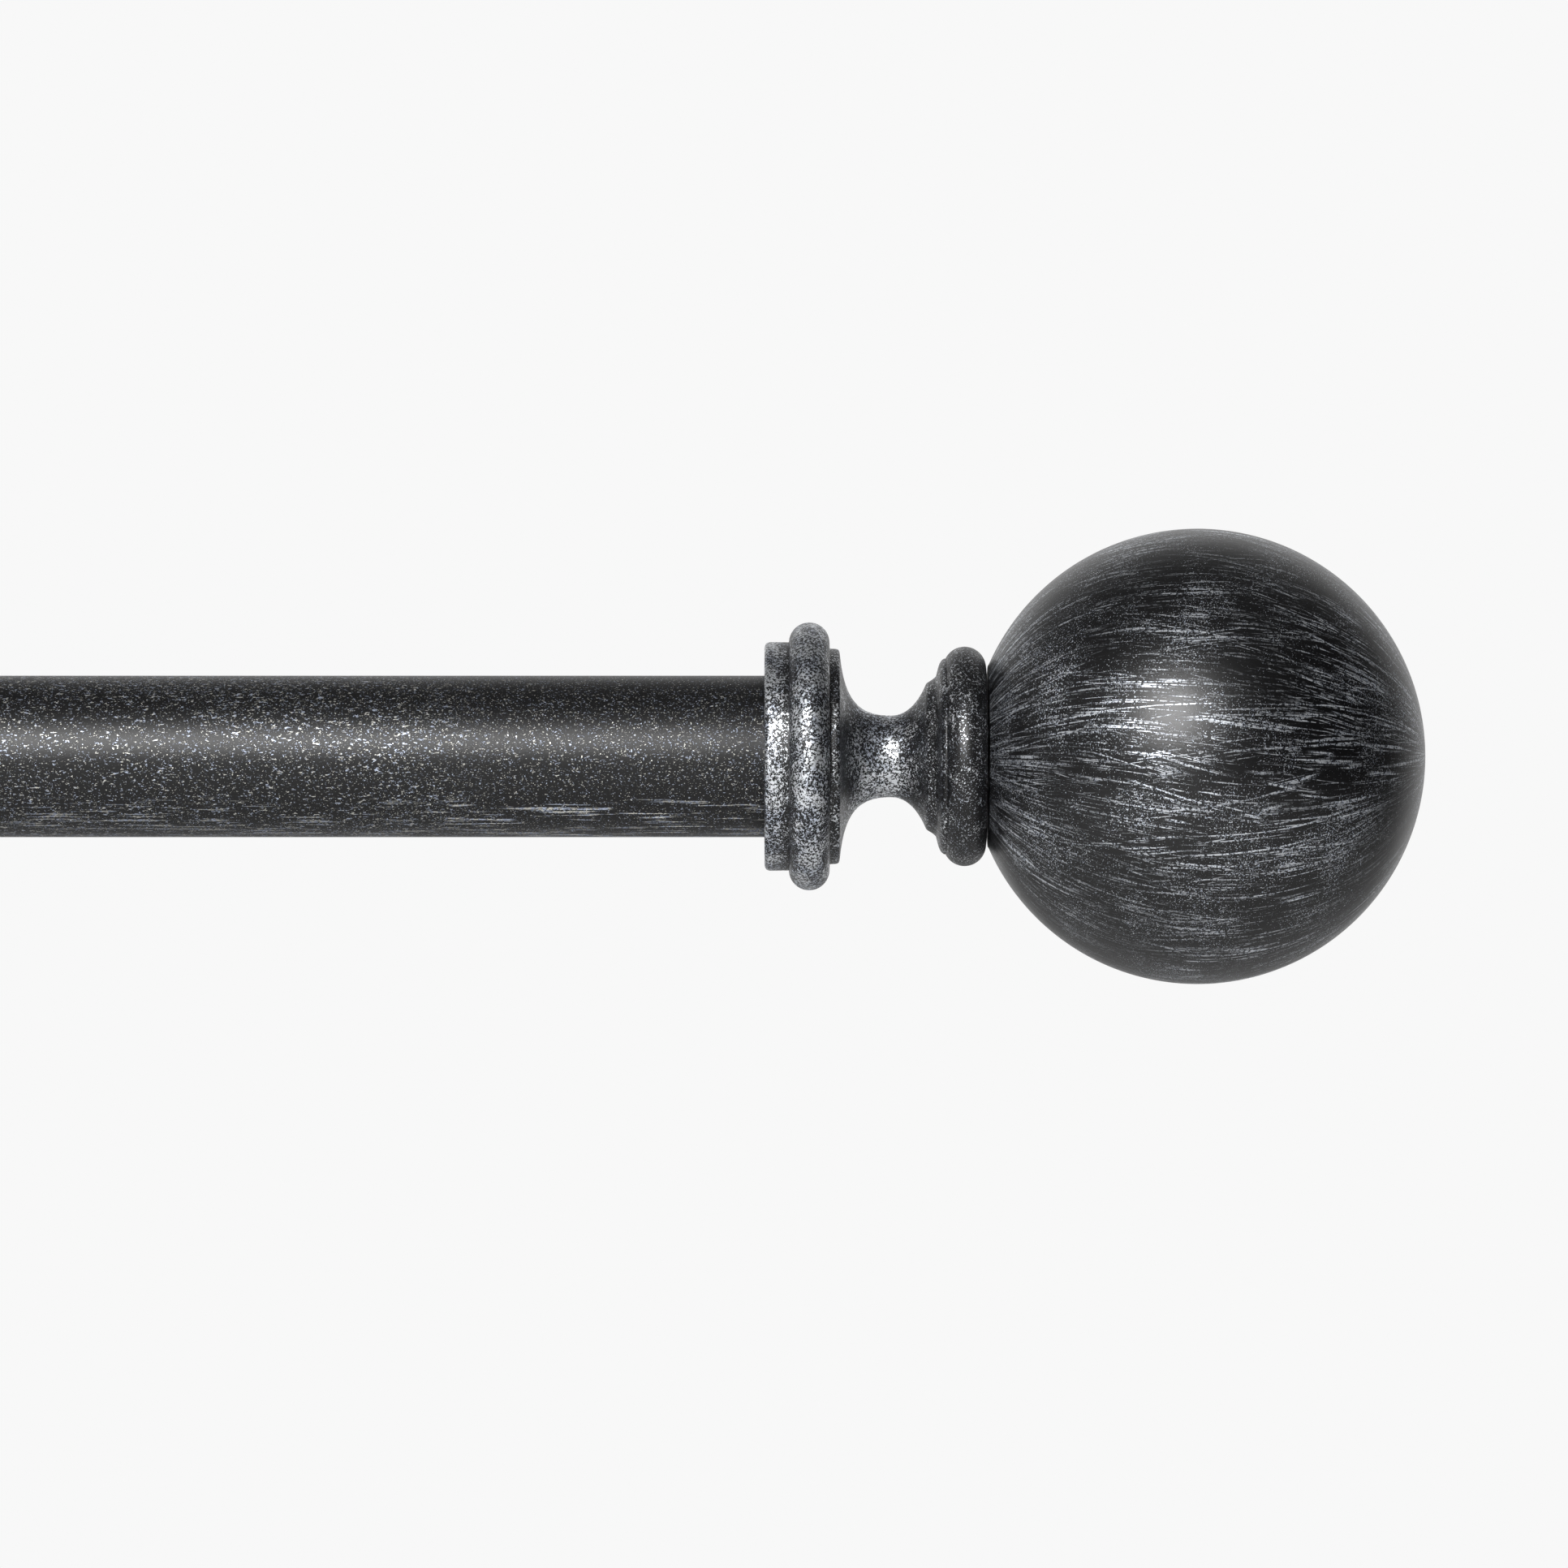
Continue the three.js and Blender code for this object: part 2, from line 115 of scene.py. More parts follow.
def raisedShare(points, reach=1.6, full=0.35):
    # how far each point of an outline stands proud of the outline blurred over a length of reach,
    # from 0 in a hollow through 0.5 on a plain stretch to 1 on a bead or an edge
    steps = np.r_[0, np.cumsum(np.linalg.norm(np.diff(points, axis=0), axis=1))]
    weight = np.exp(-(((steps[:, None] - steps[None]) / reach) ** 2))
    weight *= np.gradient(steps)[None]
    blurred = weight @ points / weight.sum(1)[:, None]
    return np.clip(0.5 + 0.5 * (points[:, 1] - blurred[:, 1]) / full, 0, 1)


def pieceFrom(name, points, faces, turns=None, raised=None):
    # a mesh object from points in millimetres; turns holds each face corner's place on the surface
    mesh = bpy.data.meshes.new(name)
    mesh.from_pydata((np.asarray(points) * metre).tolist(), [], faces)
    if turns is not None:
        layer = mesh.uv_layers.new(name="surface")
        layer.data.foreach_set("uv", np.asarray(turns, np.float32).ravel())
    raisedLayer = mesh.attributes.new("raised", "FLOAT", "POINT")
    if raised is None:
        raised = np.full(len(points), 0.5)
    raisedLayer.data.foreach_set("value", np.asarray(raised, np.float32))
    piece = bpy.data.objects.new(name, mesh)
    bpy.context.scene.collection.objects.link(piece)
    smoothed(piece)
    return piece


def smoothed(piece, sharpDeg=38):
    mesh = piece.data
    mesh.polygons.foreach_set("use_smooth", np.ones(len(mesh.polygons), bool))
    mesh.set_sharp_from_angle(angle=math.radians(sharpDeg))
    mesh.update()


def quadsOf(index):
    # the faces of a grid of corner numbers that closes on itself along its rows
    a, b = index[:-1], index[1:]
    return np.stack([a, b, np.roll(b, -1, 1), np.roll(a, -1, 1)], -1).reshape(-1, 4)


def placesOf(u, v):
    # the place (u, v) on the surface of each of those faces' four corners
    u0, v0 = np.meshgrid(u[:-1], v[:-1])
    u1, v1 = np.meshgrid(u[1:], v[1:])
    return np.stack([np.stack([u0, v0], -1), np.stack([u0, v1], -1),
                     np.stack([u1, v1], -1), np.stack([u1, v0], -1)], 2).reshape(-1, 4, 2)


def roundSurface(name, along, radius, axes, origin, closed, raised=None, shift=0):
    # the surface origin + along * axis + radius * (side cos t + up sin t) for t round the turn.
    # along and radius are grids of (row, column). An open one starts and ends at a pole on the axis.
    rows, columns = radius.shape
    middle = np.column_stack([along.mean(1), radius.mean(1)])
    nextOne = np.roll(middle, -1, axis=0)
    area = (middle[:, 0] * nextOne[:, 1] - nextOne[:, 0] * middle[:, 1]).sum()
    if area < 0:  # rows run so that the faces look outwards
        along, radius, middle = along[::-1], radius[::-1], middle[::-1]
        raised = None if raised is None else raised[::-1]
    turn = 2 * np.pi * np.arange(columns) / columns
    around = np.cos(turn)[:, None] * axes[1] + np.sin(turn)[:, None] * axes[2]
    points = np.asarray(origin) + along[..., None] * axes[0] + radius[..., None] * around
    index = np.arange(rows * columns).reshape(rows, columns)
    if not closed:
        index[0], index[-1] = index[0, 0], index[-1, 0]
    travel = np.r_[0, np.cumsum(np.linalg.norm(np.diff(middle, axis=0), axis=1))]
    last = travel[-1] + np.linalg.norm(middle[0] - middle[-1])
    if closed:
        index = np.vstack([index, index[:1]])
        travel = np.r_[travel, last]
    quads = quadsOf(index)
    corners = placesOf(np.arange(columns + 1) / columns, travel + shift)
    faces, turns = [], []
    keepFour = np.ones(len(quads), bool)
    if not closed:
        keepFour[:columns] = False
        keepFour[-columns:] = False
        first, lastRow = quads[:columns], quads[-columns:]
        faces += first[:, [0, 1, 2]].tolist() + lastRow[:, [0, 1, 3]].tolist()
        turns += [corners[:columns][:, [0, 1, 2]].reshape(-1, 2),
                  corners[-columns:][:, [0, 1, 3]].reshape(-1, 2)]
    faces += quads[keepFour].tolist()
    turns.append(corners[keepFour].reshape(-1, 2))
    used = np.unique(index)
    renumber = np.zeros(rows * columns, int)
    renumber[used] = np.arange(len(used))
    faces = [[int(renumber[k]) for k in face] for face in faces]
    share = None
    if raised is not None:
        share = np.repeat(np.asarray(raised), columns)[used]
    return pieceFrom(name, points.reshape(-1, 3)[used], faces, np.vstack(turns), share)


def turned(name, outline, axes, origin, sides=96, shift=0, reach=1.6, full=0.35, brushed=None):
    # a lathe-turned piece from an outline of (along, radius); it is closed on itself or on the axis.
    # brushed gives (places along, shares) that steer how much silver each place takes
    outline = joined(outline)
    closed = outline[0, 1] > 1e-6
    if closed and np.linalg.norm(outline[0] - outline[-1]) < 1e-4:
        outline = outline[:-1]
    along = np.repeat(outline[:, :1], sides, 1)
    radius = np.repeat(outline[:, 1:], sides, 1)
    raised = raisedShare(outline, reach, full)
    if brushed is not None:
        raised = 0.35 * raised + 0.65 * np.interp(outline[:, 0], *brushed)
    return roundSurface(name, along, radius, axes, origin, closed, raised, shift)


def finely(outline, step):
    # the same outline with points no further apart than step
    parts = []
    for first, last in zip(outline[:-1], outline[1:]):
        count = max(1, int(np.ceil(np.linalg.norm(last - first) / step)))
        parts.append(first + (last - first) * (np.arange(count) / count)[:, None])
    return np.vstack([*parts, outline[-1:]])


def sweptBar(name, x, path, normals, halfWidth, halfThick, edge, corners=6):
    # a bar of rounded rectangular section along a path in the Y-Z plane, centred on x: a point is
    # path + normal * b along the section's thickness and X * a across its width
    quarter = np.radians(np.linspace(0, 90, corners))
    rows = []
    for k in range(4):
        turn = quarter + k * np.pi / 2
        signA, signB = (1, -1, -1, 1)[k], (1, 1, -1, -1)[k]
        rows.append(np.column_stack([np.cos(turn), np.sin(turn),
                                     np.full(corners, signA), np.full(corners, signB)]))
    section = np.vstack(rows)
    ease = np.minimum(edge, halfThick)[:, None]
    a = section[:, 2] * (halfWidth - ease) + ease * section[:, 0]
    b = section[:, 3] * (halfThick[:, None] - ease) + ease * section[:, 1]
    points = np.zeros((*a.shape, 3))
    points[..., 0] = x + a
    points[..., 1:] = path[:, None] + normals[:, None] * b[..., None]
    count, size = a.shape
    index = np.arange(count * size).reshape(count, size)
    faces = quadsOf(index).tolist() + [index[0].tolist(), index[-1][::-1].tolist()]
    girth = np.r_[0, np.cumsum(np.linalg.norm(np.diff(np.c_[a[0], b[0]], axis=0), axis=1))]
    travel = np.r_[0, np.cumsum(np.linalg.norm(np.diff(path, axis=0), axis=1))]
    turns = placesOf(np.r_[girth, girth[-1] + 1], travel).reshape(-1, 2)
    turns = np.vstack([turns, np.zeros((2 * size, 2))])
    piece = pieceFrom(name, points.reshape(-1, 3), faces, turns)
    facedOut(piece)
    return piece


def facedOut(piece, others=()):
    # gathers closed meshes into one, welds corners that stand on each other, fills any sliver left
    # open and turns every face outwards, whichever way its path was walked
    work = bmesh.new()
    for part in (piece, *others):
        work.from_mesh(part.data)
    bmesh.ops.remove_doubles(work, verts=work.verts, dist=0.000003)
    bmesh.ops.dissolve_degenerate(work, edges=work.edges, dist=0.000003)
    bmesh.ops.holes_fill(work, edges=work.edges, sides=4)
    bmesh.ops.recalc_face_normals(work, faces=work.faces)
    work.to_mesh(piece.data)
    work.free()
    for part in others:
        bpy.data.objects.remove(part)


def carved(piece, tools, operation):
    # joins other closed pieces on, or cuts them out, and keeps the finished mesh
    for tool in tools:
        step = piece.modifiers.new("carve", "BOOLEAN")
        step.operation = operation
        step.solver = "EXACT"
        step.object = tool
    graph = bpy.context.evaluated_depsgraph_get()
    made = bpy.data.meshes.new_from_object(piece.evaluated_get(graph))
    made.name = piece.name
    piece.modifiers.clear()
    piece.data = made
    for tool in tools:
        bpy.data.objects.remove(tool)
    facedOut(piece)
    smoothed(piece)
    return piece


def drill(at, axes, radius, fromAlong, toAlong, sides=40):
    # a plain round cutter
    outline = [[fromAlong, 0], [fromAlong, radius], [toAlong, radius], [toAlong, 0]]
    return turned("cutter", outline, axes, at, sides)


def colour(hexText, alpha=1.0):
    # an sRGB hex colour as linear values
    values = [int(hexText[i:i + 2], 16) / 255 for i in (1, 3, 5)]
    return [v / 12.92 if v <= 0.04045 else ((v + 0.055) / 1.055) ** 2.4 for v in values] + [alpha]


def addNode(tree, kind, *inputs, out=0, **settings):
    # adds one node with its own settings. Inputs are values or sockets, in the order of the sockets in
    # use or in one dictionary by name. Returns the output asked for, by place among those in use or by name
    node = tree.nodes.new("ShaderNode" + kind)
    for key, value in settings.items():
        setattr(node, key, value)
    sockets = [socket for socket in node.inputs if socket.enabled]
    given = inputs[0].items() if inputs and isinstance(inputs[0], dict) else enumerate(inputs)
    for key, value in given:
        socket = node.inputs[key] if isinstance(key, str) else sockets[key]
        if isinstance(value, bpy.types.NodeSocket):
            tree.links.new(value, socket)
        else:
            socket.default_value = value
    if isinstance(out, str):
        return node.outputs[out]
    results = [socket for socket in node.outputs if socket.enabled]
    return results[out] if results else None


smoothStep = {"interpolation_type": "SMOOTHSTEP"}  # how every Map Range here eases


def newMaterial(name):
    # an empty material with a surface shader; returns it with its tree and shader
    material = bpy.data.materials.new(name)
    material.use_nodes = True
    tree = material.node_tree
    tree.nodes.clear()
    shader = addNode(tree, "BsdfPrincipled").node
    addNode(tree, "OutputMaterial", {"Surface": shader.outputs["BSDF"]})
    return material, tree, shader


def grainOf(tree, vector, size, detail=2.0, roughness=0.5, stretch=(1, 1, 1), shift=(0, 0, 0)):
    # a pattern whose grain is about size millimetres on a vector in metres; stretch makes it longer
    # on an axis, and shift picks another part of it
    scale = [1 / (size * metre * s) for s in stretch]
    placed = addNode(tree, "Mapping", {"Vector": vector, "Scale": scale, "Location": shift})
    return addNode(tree, "TexNoise", {"Vector": placed, "Scale": 1.0, "Detail": detail,
                                      "Roughness": roughness})


def strokes(tree, turns, travel, skew, width, length, low, high, radius, seed, warp=None):
    # brush strokes that run along a turned piece from pole to pole. They are noise on a cylinder of
    # the given radius, fine round the turn and long along the travel; skew turns them aside, in turns
    # per metre, and warp sways them
    turnAt = addNode(tree, "Math", travel, skew, turns, operation="MULTIPLY_ADD")
    if warp is not None:
        turnAt = addNode(tree, "Math", turnAt, warp, operation="ADD")
    angle = addNode(tree, "Math", turnAt, 2 * math.pi, operation="MULTIPLY")
    cosine = addNode(tree, "Math", angle, operation="COSINE")
    sine = addNode(tree, "Math", angle, operation="SINE")
    across = addNode(tree, "Math", cosine, radius * metre, operation="MULTIPLY")
    upward = addNode(tree, "Math", sine, radius * metre, operation="MULTIPLY")
    spot = addNode(tree, "CombineXYZ", across, upward, travel)
    value = grainOf(tree, spot, width, 2.0, 0.55, (1, 1, length / width), (seed, seed * 1.7, seed * 0.6))
    return addNode(tree, "MapRange", value, low, high, **smoothStep)


brushedPaint = {
    "black": "#070708",  # satin black base coat
    "silver": "#dde1e6",  # dry-brushed silver
    "coolSilver": "#c6cfdf",
    "radius": 35.8,  # mm, the ball's
    "grit": 0.24,  # mm, one grain of the brush's broken trail
    "handShift": (0, 0, 0),  # where on the balls the brush bore down more and less
    "topShadeSlope": -1.8,  # per metre of height: silver thins towards the top, a painted shade that darkens the balls' upper half
    "roughness": 0.35,
    "specular": 0.40,
    "relief": 0.00004,  # m, height of the brushed coat
    "reliefStrength": 0.6,
    "silverHeight": 0.7,  # of the relief, beside its grain
}


def silverOverBlack(tree, shader, look, silver, tintShare, grain):
    # lays silver paint over black where silver is 1, in a tint that wanders, with both in relief
    tint = addNode(tree, "Mix", tintShare, colour(look["coolSilver"]), colour(look["silver"]),
                   data_type="RGBA")
    coat = addNode(tree, "Mix", silver, colour(look["black"]), tint, data_type="RGBA")
    tree.links.new(coat, shader.inputs["Base Color"])
    tree.links.new(silver, shader.inputs["Metallic"])
    shader.inputs["Roughness"].default_value = look["roughness"]
    shader.inputs["Specular IOR Level"].default_value = look["specular"]
    bumps = addNode(tree, "Math", silver, look["silverHeight"], grain, operation="MULTIPLY_ADD")
    relief = addNode(tree, "Bump", {"Strength": look["reliefStrength"], "Distance": look["relief"],
                                    "Height": bumps})
    tree.links.new(relief, shader.inputs["Normal"])


def brushedBlackSilverPaint():
    # Satin black sprayed paint, brushed over nearly dry with silver from pole to pole: bundles of
    # thin broken strokes of bright metal paint over a soft dark sheen, with silver grit between.
    look = brushedPaint
    material, tree, shader = newMaterial("satin black paint dry-brushed with silver")
    place = addNode(tree, "TexCoord", out="Object")
    uv = addNode(tree, "UVMap", uv_map="surface")
    split = addNode(tree, "SeparateXYZ", uv).node
    turns = split.outputs[0]
    travel = addNode(tree, "Math", split.outputs[1], metre, operation="MULTIPLY")
    sway = addNode(tree, "Math", grainOf(tree, place, 60, 0.0), 0.05, -0.025, operation="MULTIPLY_ADD")
    coarseGrain = grainOf(tree, place, 0.55, 2.0, 0.7, shift=(4, 4, 4))
    grit = grainOf(tree, place, look["grit"], 2.0, 0.7, shift=(9, 9, 9))
    fineTrail = addNode(tree, "Math", grit, 0.45, operation="MULTIPLY")
    trail = addNode(tree, "Math", coarseGrain, 0.55, fineTrail, operation="MULTIPLY_ADD")
    broken = addNode(tree, "MapRange", trail, 0.44, 0.53, **smoothStep)
    layers = [
        # skew in turns per metre, bundle width and length, stroke width and length in mm,
        # then how much of each is kept, as thresholds
        (0.0, 5.5, 26, 0.30, 16, 0.54, 0.595),
        (0.9, 4.0, 18, 0.36, 13, 0.57, 0.590),
        (-1.1, 4.5, 20, 0.32, 12, 0.58, 0.595),
        (0.2, 3.4, 15, 0.62, 15, 0.55, 0.580),
        (-0.5, 7.0, 24, 0.52, 20, 0.55, 0.605),
    ]
    total = None
    for k, (skew, bundle, bundleLength, width, length, most, some) in enumerate(layers):
        seed = 3.1 + 5.3 * k
        where = strokes(tree, turns, travel, skew, bundle, bundleLength, most - 0.05, most + 0.08,
                        look["radius"], seed, sway)
        mark = strokes(tree, turns, travel, skew, width, length, some, some + 0.03, look["radius"],
                       seed + 40, sway)
        share = addNode(tree, "Math", mark, where, operation="MULTIPLY")
        total = share if total is None else addNode(tree, "Math", total, share, operation="MAXIMUM")
    hairs = strokes(tree, turns, travel, 0.1, 0.24, 11, 0.63, 0.67, look["radius"], 71, sway)
    faintHairs = addNode(tree, "Math", hairs, 0.55, operation="MULTIPLY")
    total = addNode(tree, "Math", total, faintHairs, operation="MAXIMUM")
    # Silver strokes thin out with height: painted shade on the balls' upper half, mixed with random patches
    # where the brush bore down more and less
    height = addNode(tree, "SeparateXYZ", place, out=2)
    handPatches = grainOf(tree, place, 34, 1.0, shift=look["handShift"])
    pressureAndTopShade = addNode(tree, "Math", height, look["topShadeSlope"], handPatches, operation="MULTIPLY_ADD")
    brushAndTopShade = addNode(tree, "MapRange", pressureAndTopShade, 0.40, 0.56, 0.20, 1.0, **smoothStep)
    total = addNode(tree, "Math", total, brushAndTopShade, operation="MULTIPLY")
    clouds = grainOf(tree, place, 9, 2.0, shift=(6, 3, 1))
    gritPatches = addNode(tree, "MapRange", clouds, 0.34, 0.66, -0.06, 0.03, **smoothStep)
    # the silver grit follows the same painted shade and patches
    gritAndTopShade = addNode(tree, "Math", brushAndTopShade, 0.03, gritPatches, operation="MULTIPLY_ADD")
    gritLevel = addNode(tree, "Math", gritAndTopShade, -0.03, operation="ADD")
    sandy = addNode(tree, "Math", grit, gritLevel, operation="ADD")
    sand = addNode(tree, "MapRange", sandy, 0.620, 0.650, 0.0, 0.85, **smoothStep)
    brushed = addNode(tree, "Math", total, broken, operation="MULTIPLY")
    silver = addNode(tree, "Math", brushed, sand, operation="MAXIMUM")
    tintShare = addNode(tree, "MapRange", coarseGrain, 0.35, 0.6, **smoothStep)
    silverOverBlack(tree, shader, look, silver, tintShare, grit)
    return material


stippledPaint = {
    "black": "#060607",
    "silver": "#dde0e4",
    "coolSilver": "#c8cfdc",
    "fleck": 0.42,  # mm, one dab's grain
    "roughness": 0.42,
    "specular": 0.40,
    "relief": 0.00005,
    "reliefStrength": 0.7,
    "silverHeight": 0.7,
}


def stippledBlackSilverPaint():
    # The same two paints dabbed on a turned casting: crisp silver flecks crowd the beads, bands and
    # edges that the brush reaches, and the grooves stay black.
    look = stippledPaint
    material, tree, shader = newMaterial("satin black paint dabbed with silver")
    place = addNode(tree, "TexCoord", out="Object")
    raised = addNode(tree, "Attribute", attribute_name="raised", out="Fac")
    dab = grainOf(tree, place, look["fleck"], 3.0, 0.68)
    grain = grainOf(tree, place, 0.20, 1.0, 0.6, shift=(5, 8, 2))
    patches = grainOf(tree, place, 4.2, 2.0, 0.55, shift=(1, 7, 3))
    proud = addNode(tree, "MapRange", raised, 0.22, 0.95, **smoothStep)
    patchy = addNode(tree, "MapRange", patches, 0.36, 0.64, **smoothStep)
    patchWant = addNode(tree, "Math", patchy, 0.060, operation="MULTIPLY")
    want = addNode(tree, "Math", proud, 0.090, patchWant, operation="MULTIPLY_ADD")
    dabbed = addNode(tree, "Math", dab, want, operation="ADD")
    flecks = addNode(tree, "MapRange", dabbed, 0.640, 0.665, **smoothStep)
    speckled = addNode(tree, "Math", want, 0.7, grain, operation="MULTIPLY_ADD")
    specks = addNode(tree, "MapRange", speckled, 0.680, 0.705, 0.0, 0.8, **smoothStep)
    silver = addNode(tree, "Math", flecks, specks, operation="MAXIMUM")
    tintShare = addNode(tree, "MapRange", patches, 0.35, 0.6, **smoothStep)
    silverOverBlack(tree, shader, look, silver, tintShare, dab)
    return material


rodPaint = {
    "black": "#070708",
    "silver": "#dad9d2",
    "coolSilver": "#bcc6da",
    "coarseEnds": (58, 42),  # mm short of the right collar, where the coarse flake gives way to fine
    "roughness": 0.42,
    "specular": 0.32,
    "relief": 0.00004,
    "reliefStrength": 0.6,
    "silverHeight": 0.6,
}


def speckledTubePaint():
    # Black paint with metal flake sprayed on a drawn steel tube and wiped along it with silver:
    # a sandy glitter drawn out along the tube, coarse along most of its length and fine near the
    # collar, and a few long thin wipes low on its side.
    look = rodPaint
    material, tree, shader = newMaterial("black flake paint wiped with silver on tube")
    place = addNode(tree, "TexCoord", out="Object")
    split = addNode(tree, "SeparateXYZ", place).node
    fromCollar = [(rightCollar - d) * metre for d in look["coarseEnds"]]
    coarseness = addNode(tree, "MapRange", split.outputs[0], fromCollar[0], fromCollar[1], 1.0, 0.0,
                         **smoothStep)
    fine = grainOf(tree, place, 0.20, 2.0, 0.6, (1.7, 1, 1))
    coarse = grainOf(tree, place, 0.34, 2.0, 0.68, (2.8, 1, 1), (3, 3, 8))
    clouds = grainOf(tree, place, 16, 2.0, stretch=(3, 1, 1))
    patches = addNode(tree, "MapRange", clouds, 0.36, 0.66, -0.012, 0.012, **smoothStep)
    finePatched = addNode(tree, "Math", patches, fine, operation="ADD")
    fineFlecks = addNode(tree, "MapRange", finePatched, 0.630, 0.665, 0.0, 0.60, **smoothStep)
    coarsePatched = addNode(tree, "Math", patches, coarse, operation="ADD")
    dashes = addNode(tree, "MapRange", coarsePatched, 0.625, 0.660, 0.0, 0.75, **smoothStep)
    spots = addNode(tree, "MapRange", grainOf(tree, place, 0.32, 1.0, 0.6, shift=(2, 6, 6)), 0.70, 0.74,
                    **smoothStep)
    low = addNode(tree, "MapRange", split.outputs[2], -0.0060, -0.0085, 0.0, 1.0, **smoothStep)
    wipe = addNode(tree, "MapRange", grainOf(tree, place, 0.34, 2.0, 0.5, (26, 1, 1), (1, 9, 4)), 0.56,
                   0.61, **smoothStep)
    wipeWhere = addNode(tree, "MapRange", grainOf(tree, place, 1.6, 1.0, 0.5, (9, 1, 1), (8, 2, 2)), 0.42,
                        0.52, **smoothStep)
    wipeReach = addNode(tree, "Math", wipeWhere, low, operation="MULTIPLY")
    wiped = addNode(tree, "Math", wipe, wipeReach, operation="MULTIPLY")
    wipeGrain = addNode(tree, "MapRange", fine, 0.38, 0.52, 0.1, 1.0, **smoothStep)
    wiped = addNode(tree, "Math", wiped, wipeGrain, operation="MULTIPLY")
    wipeFade = addNode(tree, "Math", coarseness, -0.55, 1.0, operation="MULTIPLY_ADD")
    wiped = addNode(tree, "Math", wiped, wipeFade, operation="MULTIPLY")
    coarseFlecks = addNode(tree, "Math", dashes, coarseness, operation="MULTIPLY")
    silver = addNode(tree, "Math", fineFlecks, coarseFlecks, operation="MAXIMUM")
    silver = addNode(tree, "Math", silver, spots, operation="MAXIMUM")
    silver = addNode(tree, "Math", silver, wiped, operation="MAXIMUM")
    flakePick = grainOf(tree, place, 0.6, 0.0, shift=(7, 7, 1))
    tintShare = addNode(tree, "MapRange", flakePick, 0.42, 0.58, **smoothStep)
    silverOverBlack(tree, shader, look, silver, tintShare, fine)
    return material


def zincPlatedSteel():
    # Bright zinc plate on rolled or cut steel: pale blue-grey metal, faintly clouded, with fine
    # tool marks that break up its reflections.
    material, tree, shader = newMaterial("bright zinc-plated steel")
    place = addNode(tree, "TexCoord", out="Object")
    clouds = grainOf(tree, place, 4.5, 3.0, 0.6)
    marks = grainOf(tree, place, 0.12, 2.0, 0.5)
    tree.links.new(addNode(tree, "Mix", clouds, colour("#a9adb2"), colour("#d3d6d8"), data_type="RGBA"),
                   shader.inputs["Base Color"])
    shader.inputs["Metallic"].default_value = 1.0
    tree.links.new(addNode(tree, "MapRange", clouds, 0.3, 0.7, 0.22, 0.38, **smoothStep),
                   shader.inputs["Roughness"])
    relief = addNode(tree, "Bump", {"Strength": 0.35, "Distance": 0.00002, "Height": marks})
    tree.links.new(relief, shader.inputs["Normal"])
    return material


def mouldedNylon(name, dark, light):
    # Injection-moulded nylon: a dull, slightly waxy surface with a fine spark-eroded grain. The real
    # grain is about 0.05 mm; it is drawn coarser so that it shows.
    material, tree, shader = newMaterial(name)
    place = addNode(tree, "TexCoord", out="Object")
    grain = grainOf(tree, place, 0.18, 2.0, 0.6)
    flow = grainOf(tree, place, 6.0, 2.0, 0.5, shift=(3, 1, 4))
    tree.links.new(addNode(tree, "Mix", flow, colour(dark), colour(light), data_type="RGBA"),
                   shader.inputs["Base Color"])
    tree.links.new(addNode(tree, "MapRange", flow, 0.3, 0.7, 0.48, 0.60, **smoothStep),
                   shader.inputs["Roughness"])
    relief = addNode(tree, "Bump", {"Strength": 0.5, "Distance": 0.00003, "Height": grain})
    tree.links.new(relief, shader.inputs["Normal"])
    return material


ballPaint = brushedBlackSilverPaint()
castPaint = stippledBlackSilverPaint()
tubePaint = speckledTubePaint()
zinc = zincPlatedSteel()
blackNylon = mouldedNylon("moulded black nylon", "#131314", "#1b1b1d")
greyNylon = mouldedNylon("moulded grey nylon", "#85898c", "#9a9ea0")
print("materials made")


def finished(piece, material, body, node):
    # gives a piece its material and its body, and hides the CAD node it stands for
    piece.data.materials.clear()
    piece.data.materials.append(material)
    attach(piece, body)
    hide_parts(node)
    return piece


finial = {
    "ball": {"radius": 35.8, "wall": 1.4, "centre": 68.0, "seat": 35.1},
    "studRadius": 3.0,
    "pitch": 1.0,
    "clear": 0.3,
    # where the silver is dabbed on thickly and thinly along the neck, in mm from the collar's face
    "brushed": ([0, 3, 4.2, 5.5, 8.5, 10.4, 12.5, 14.5, 16, 21, 23.5, 26, 28, 31, 33, 34.8],
                [1.1, 1.1, 0.3, 1.0, 0.9, 0.4, 0.35, 0.8, 1.25, 1.05, 0.4, 0.2, 0.3, 0.15, 0.1, 0.0]),
}


def neckOutline():
    # from the collar's open face: socket, band, big bead, step, cove, waist, flare, ring, small bead
    hole = finial["studRadius"] + finial["clear"]
    socket = eased([[4.5, hole, 0], [4.5, 13, 0.4], [0, 13, 0.35], [0, 18, 1.0], [3.9, 17.95, 0]])
    bead = arc(7.02, 17.86, 3.2, 174, -14, 26)
    step = eased([bead[-1].tolist() + [0], [10.35, 16.95, 0.12], [11.7, 16.9, 0.75], [11.85, 16.0, 0]])
    cove = bend([11.85, 16.0], [12.6, 8.4], [15.1, 6.42], [19.9, 6.42])
    flare = bend([19.9, 6.42], [22.5, 6.42], [24.25, 8.68], [25.4, 11.4], 16)
    ogee = bend([25.4, 11.4], [25.75, 11.85], [26.3, 11.85], [26.95, 12.6], 8)
    rise = bend([26.95, 12.6], [27.25, 13.6], [27.35, 14.7], [27.95, 15.2], 8)
    ring = bend([27.95, 15.2], [28.2, 15.45], [28.45, 15.45], [28.62, 15.3], 6)
    smallBead = arc(31.45, 13.91, 3.35, 155, 4, 22)
    return joined(socket, bead, step, cove, flare, ogee, rise, ring, smallBead, [[34.8, 13.2], [34.8, hole]])


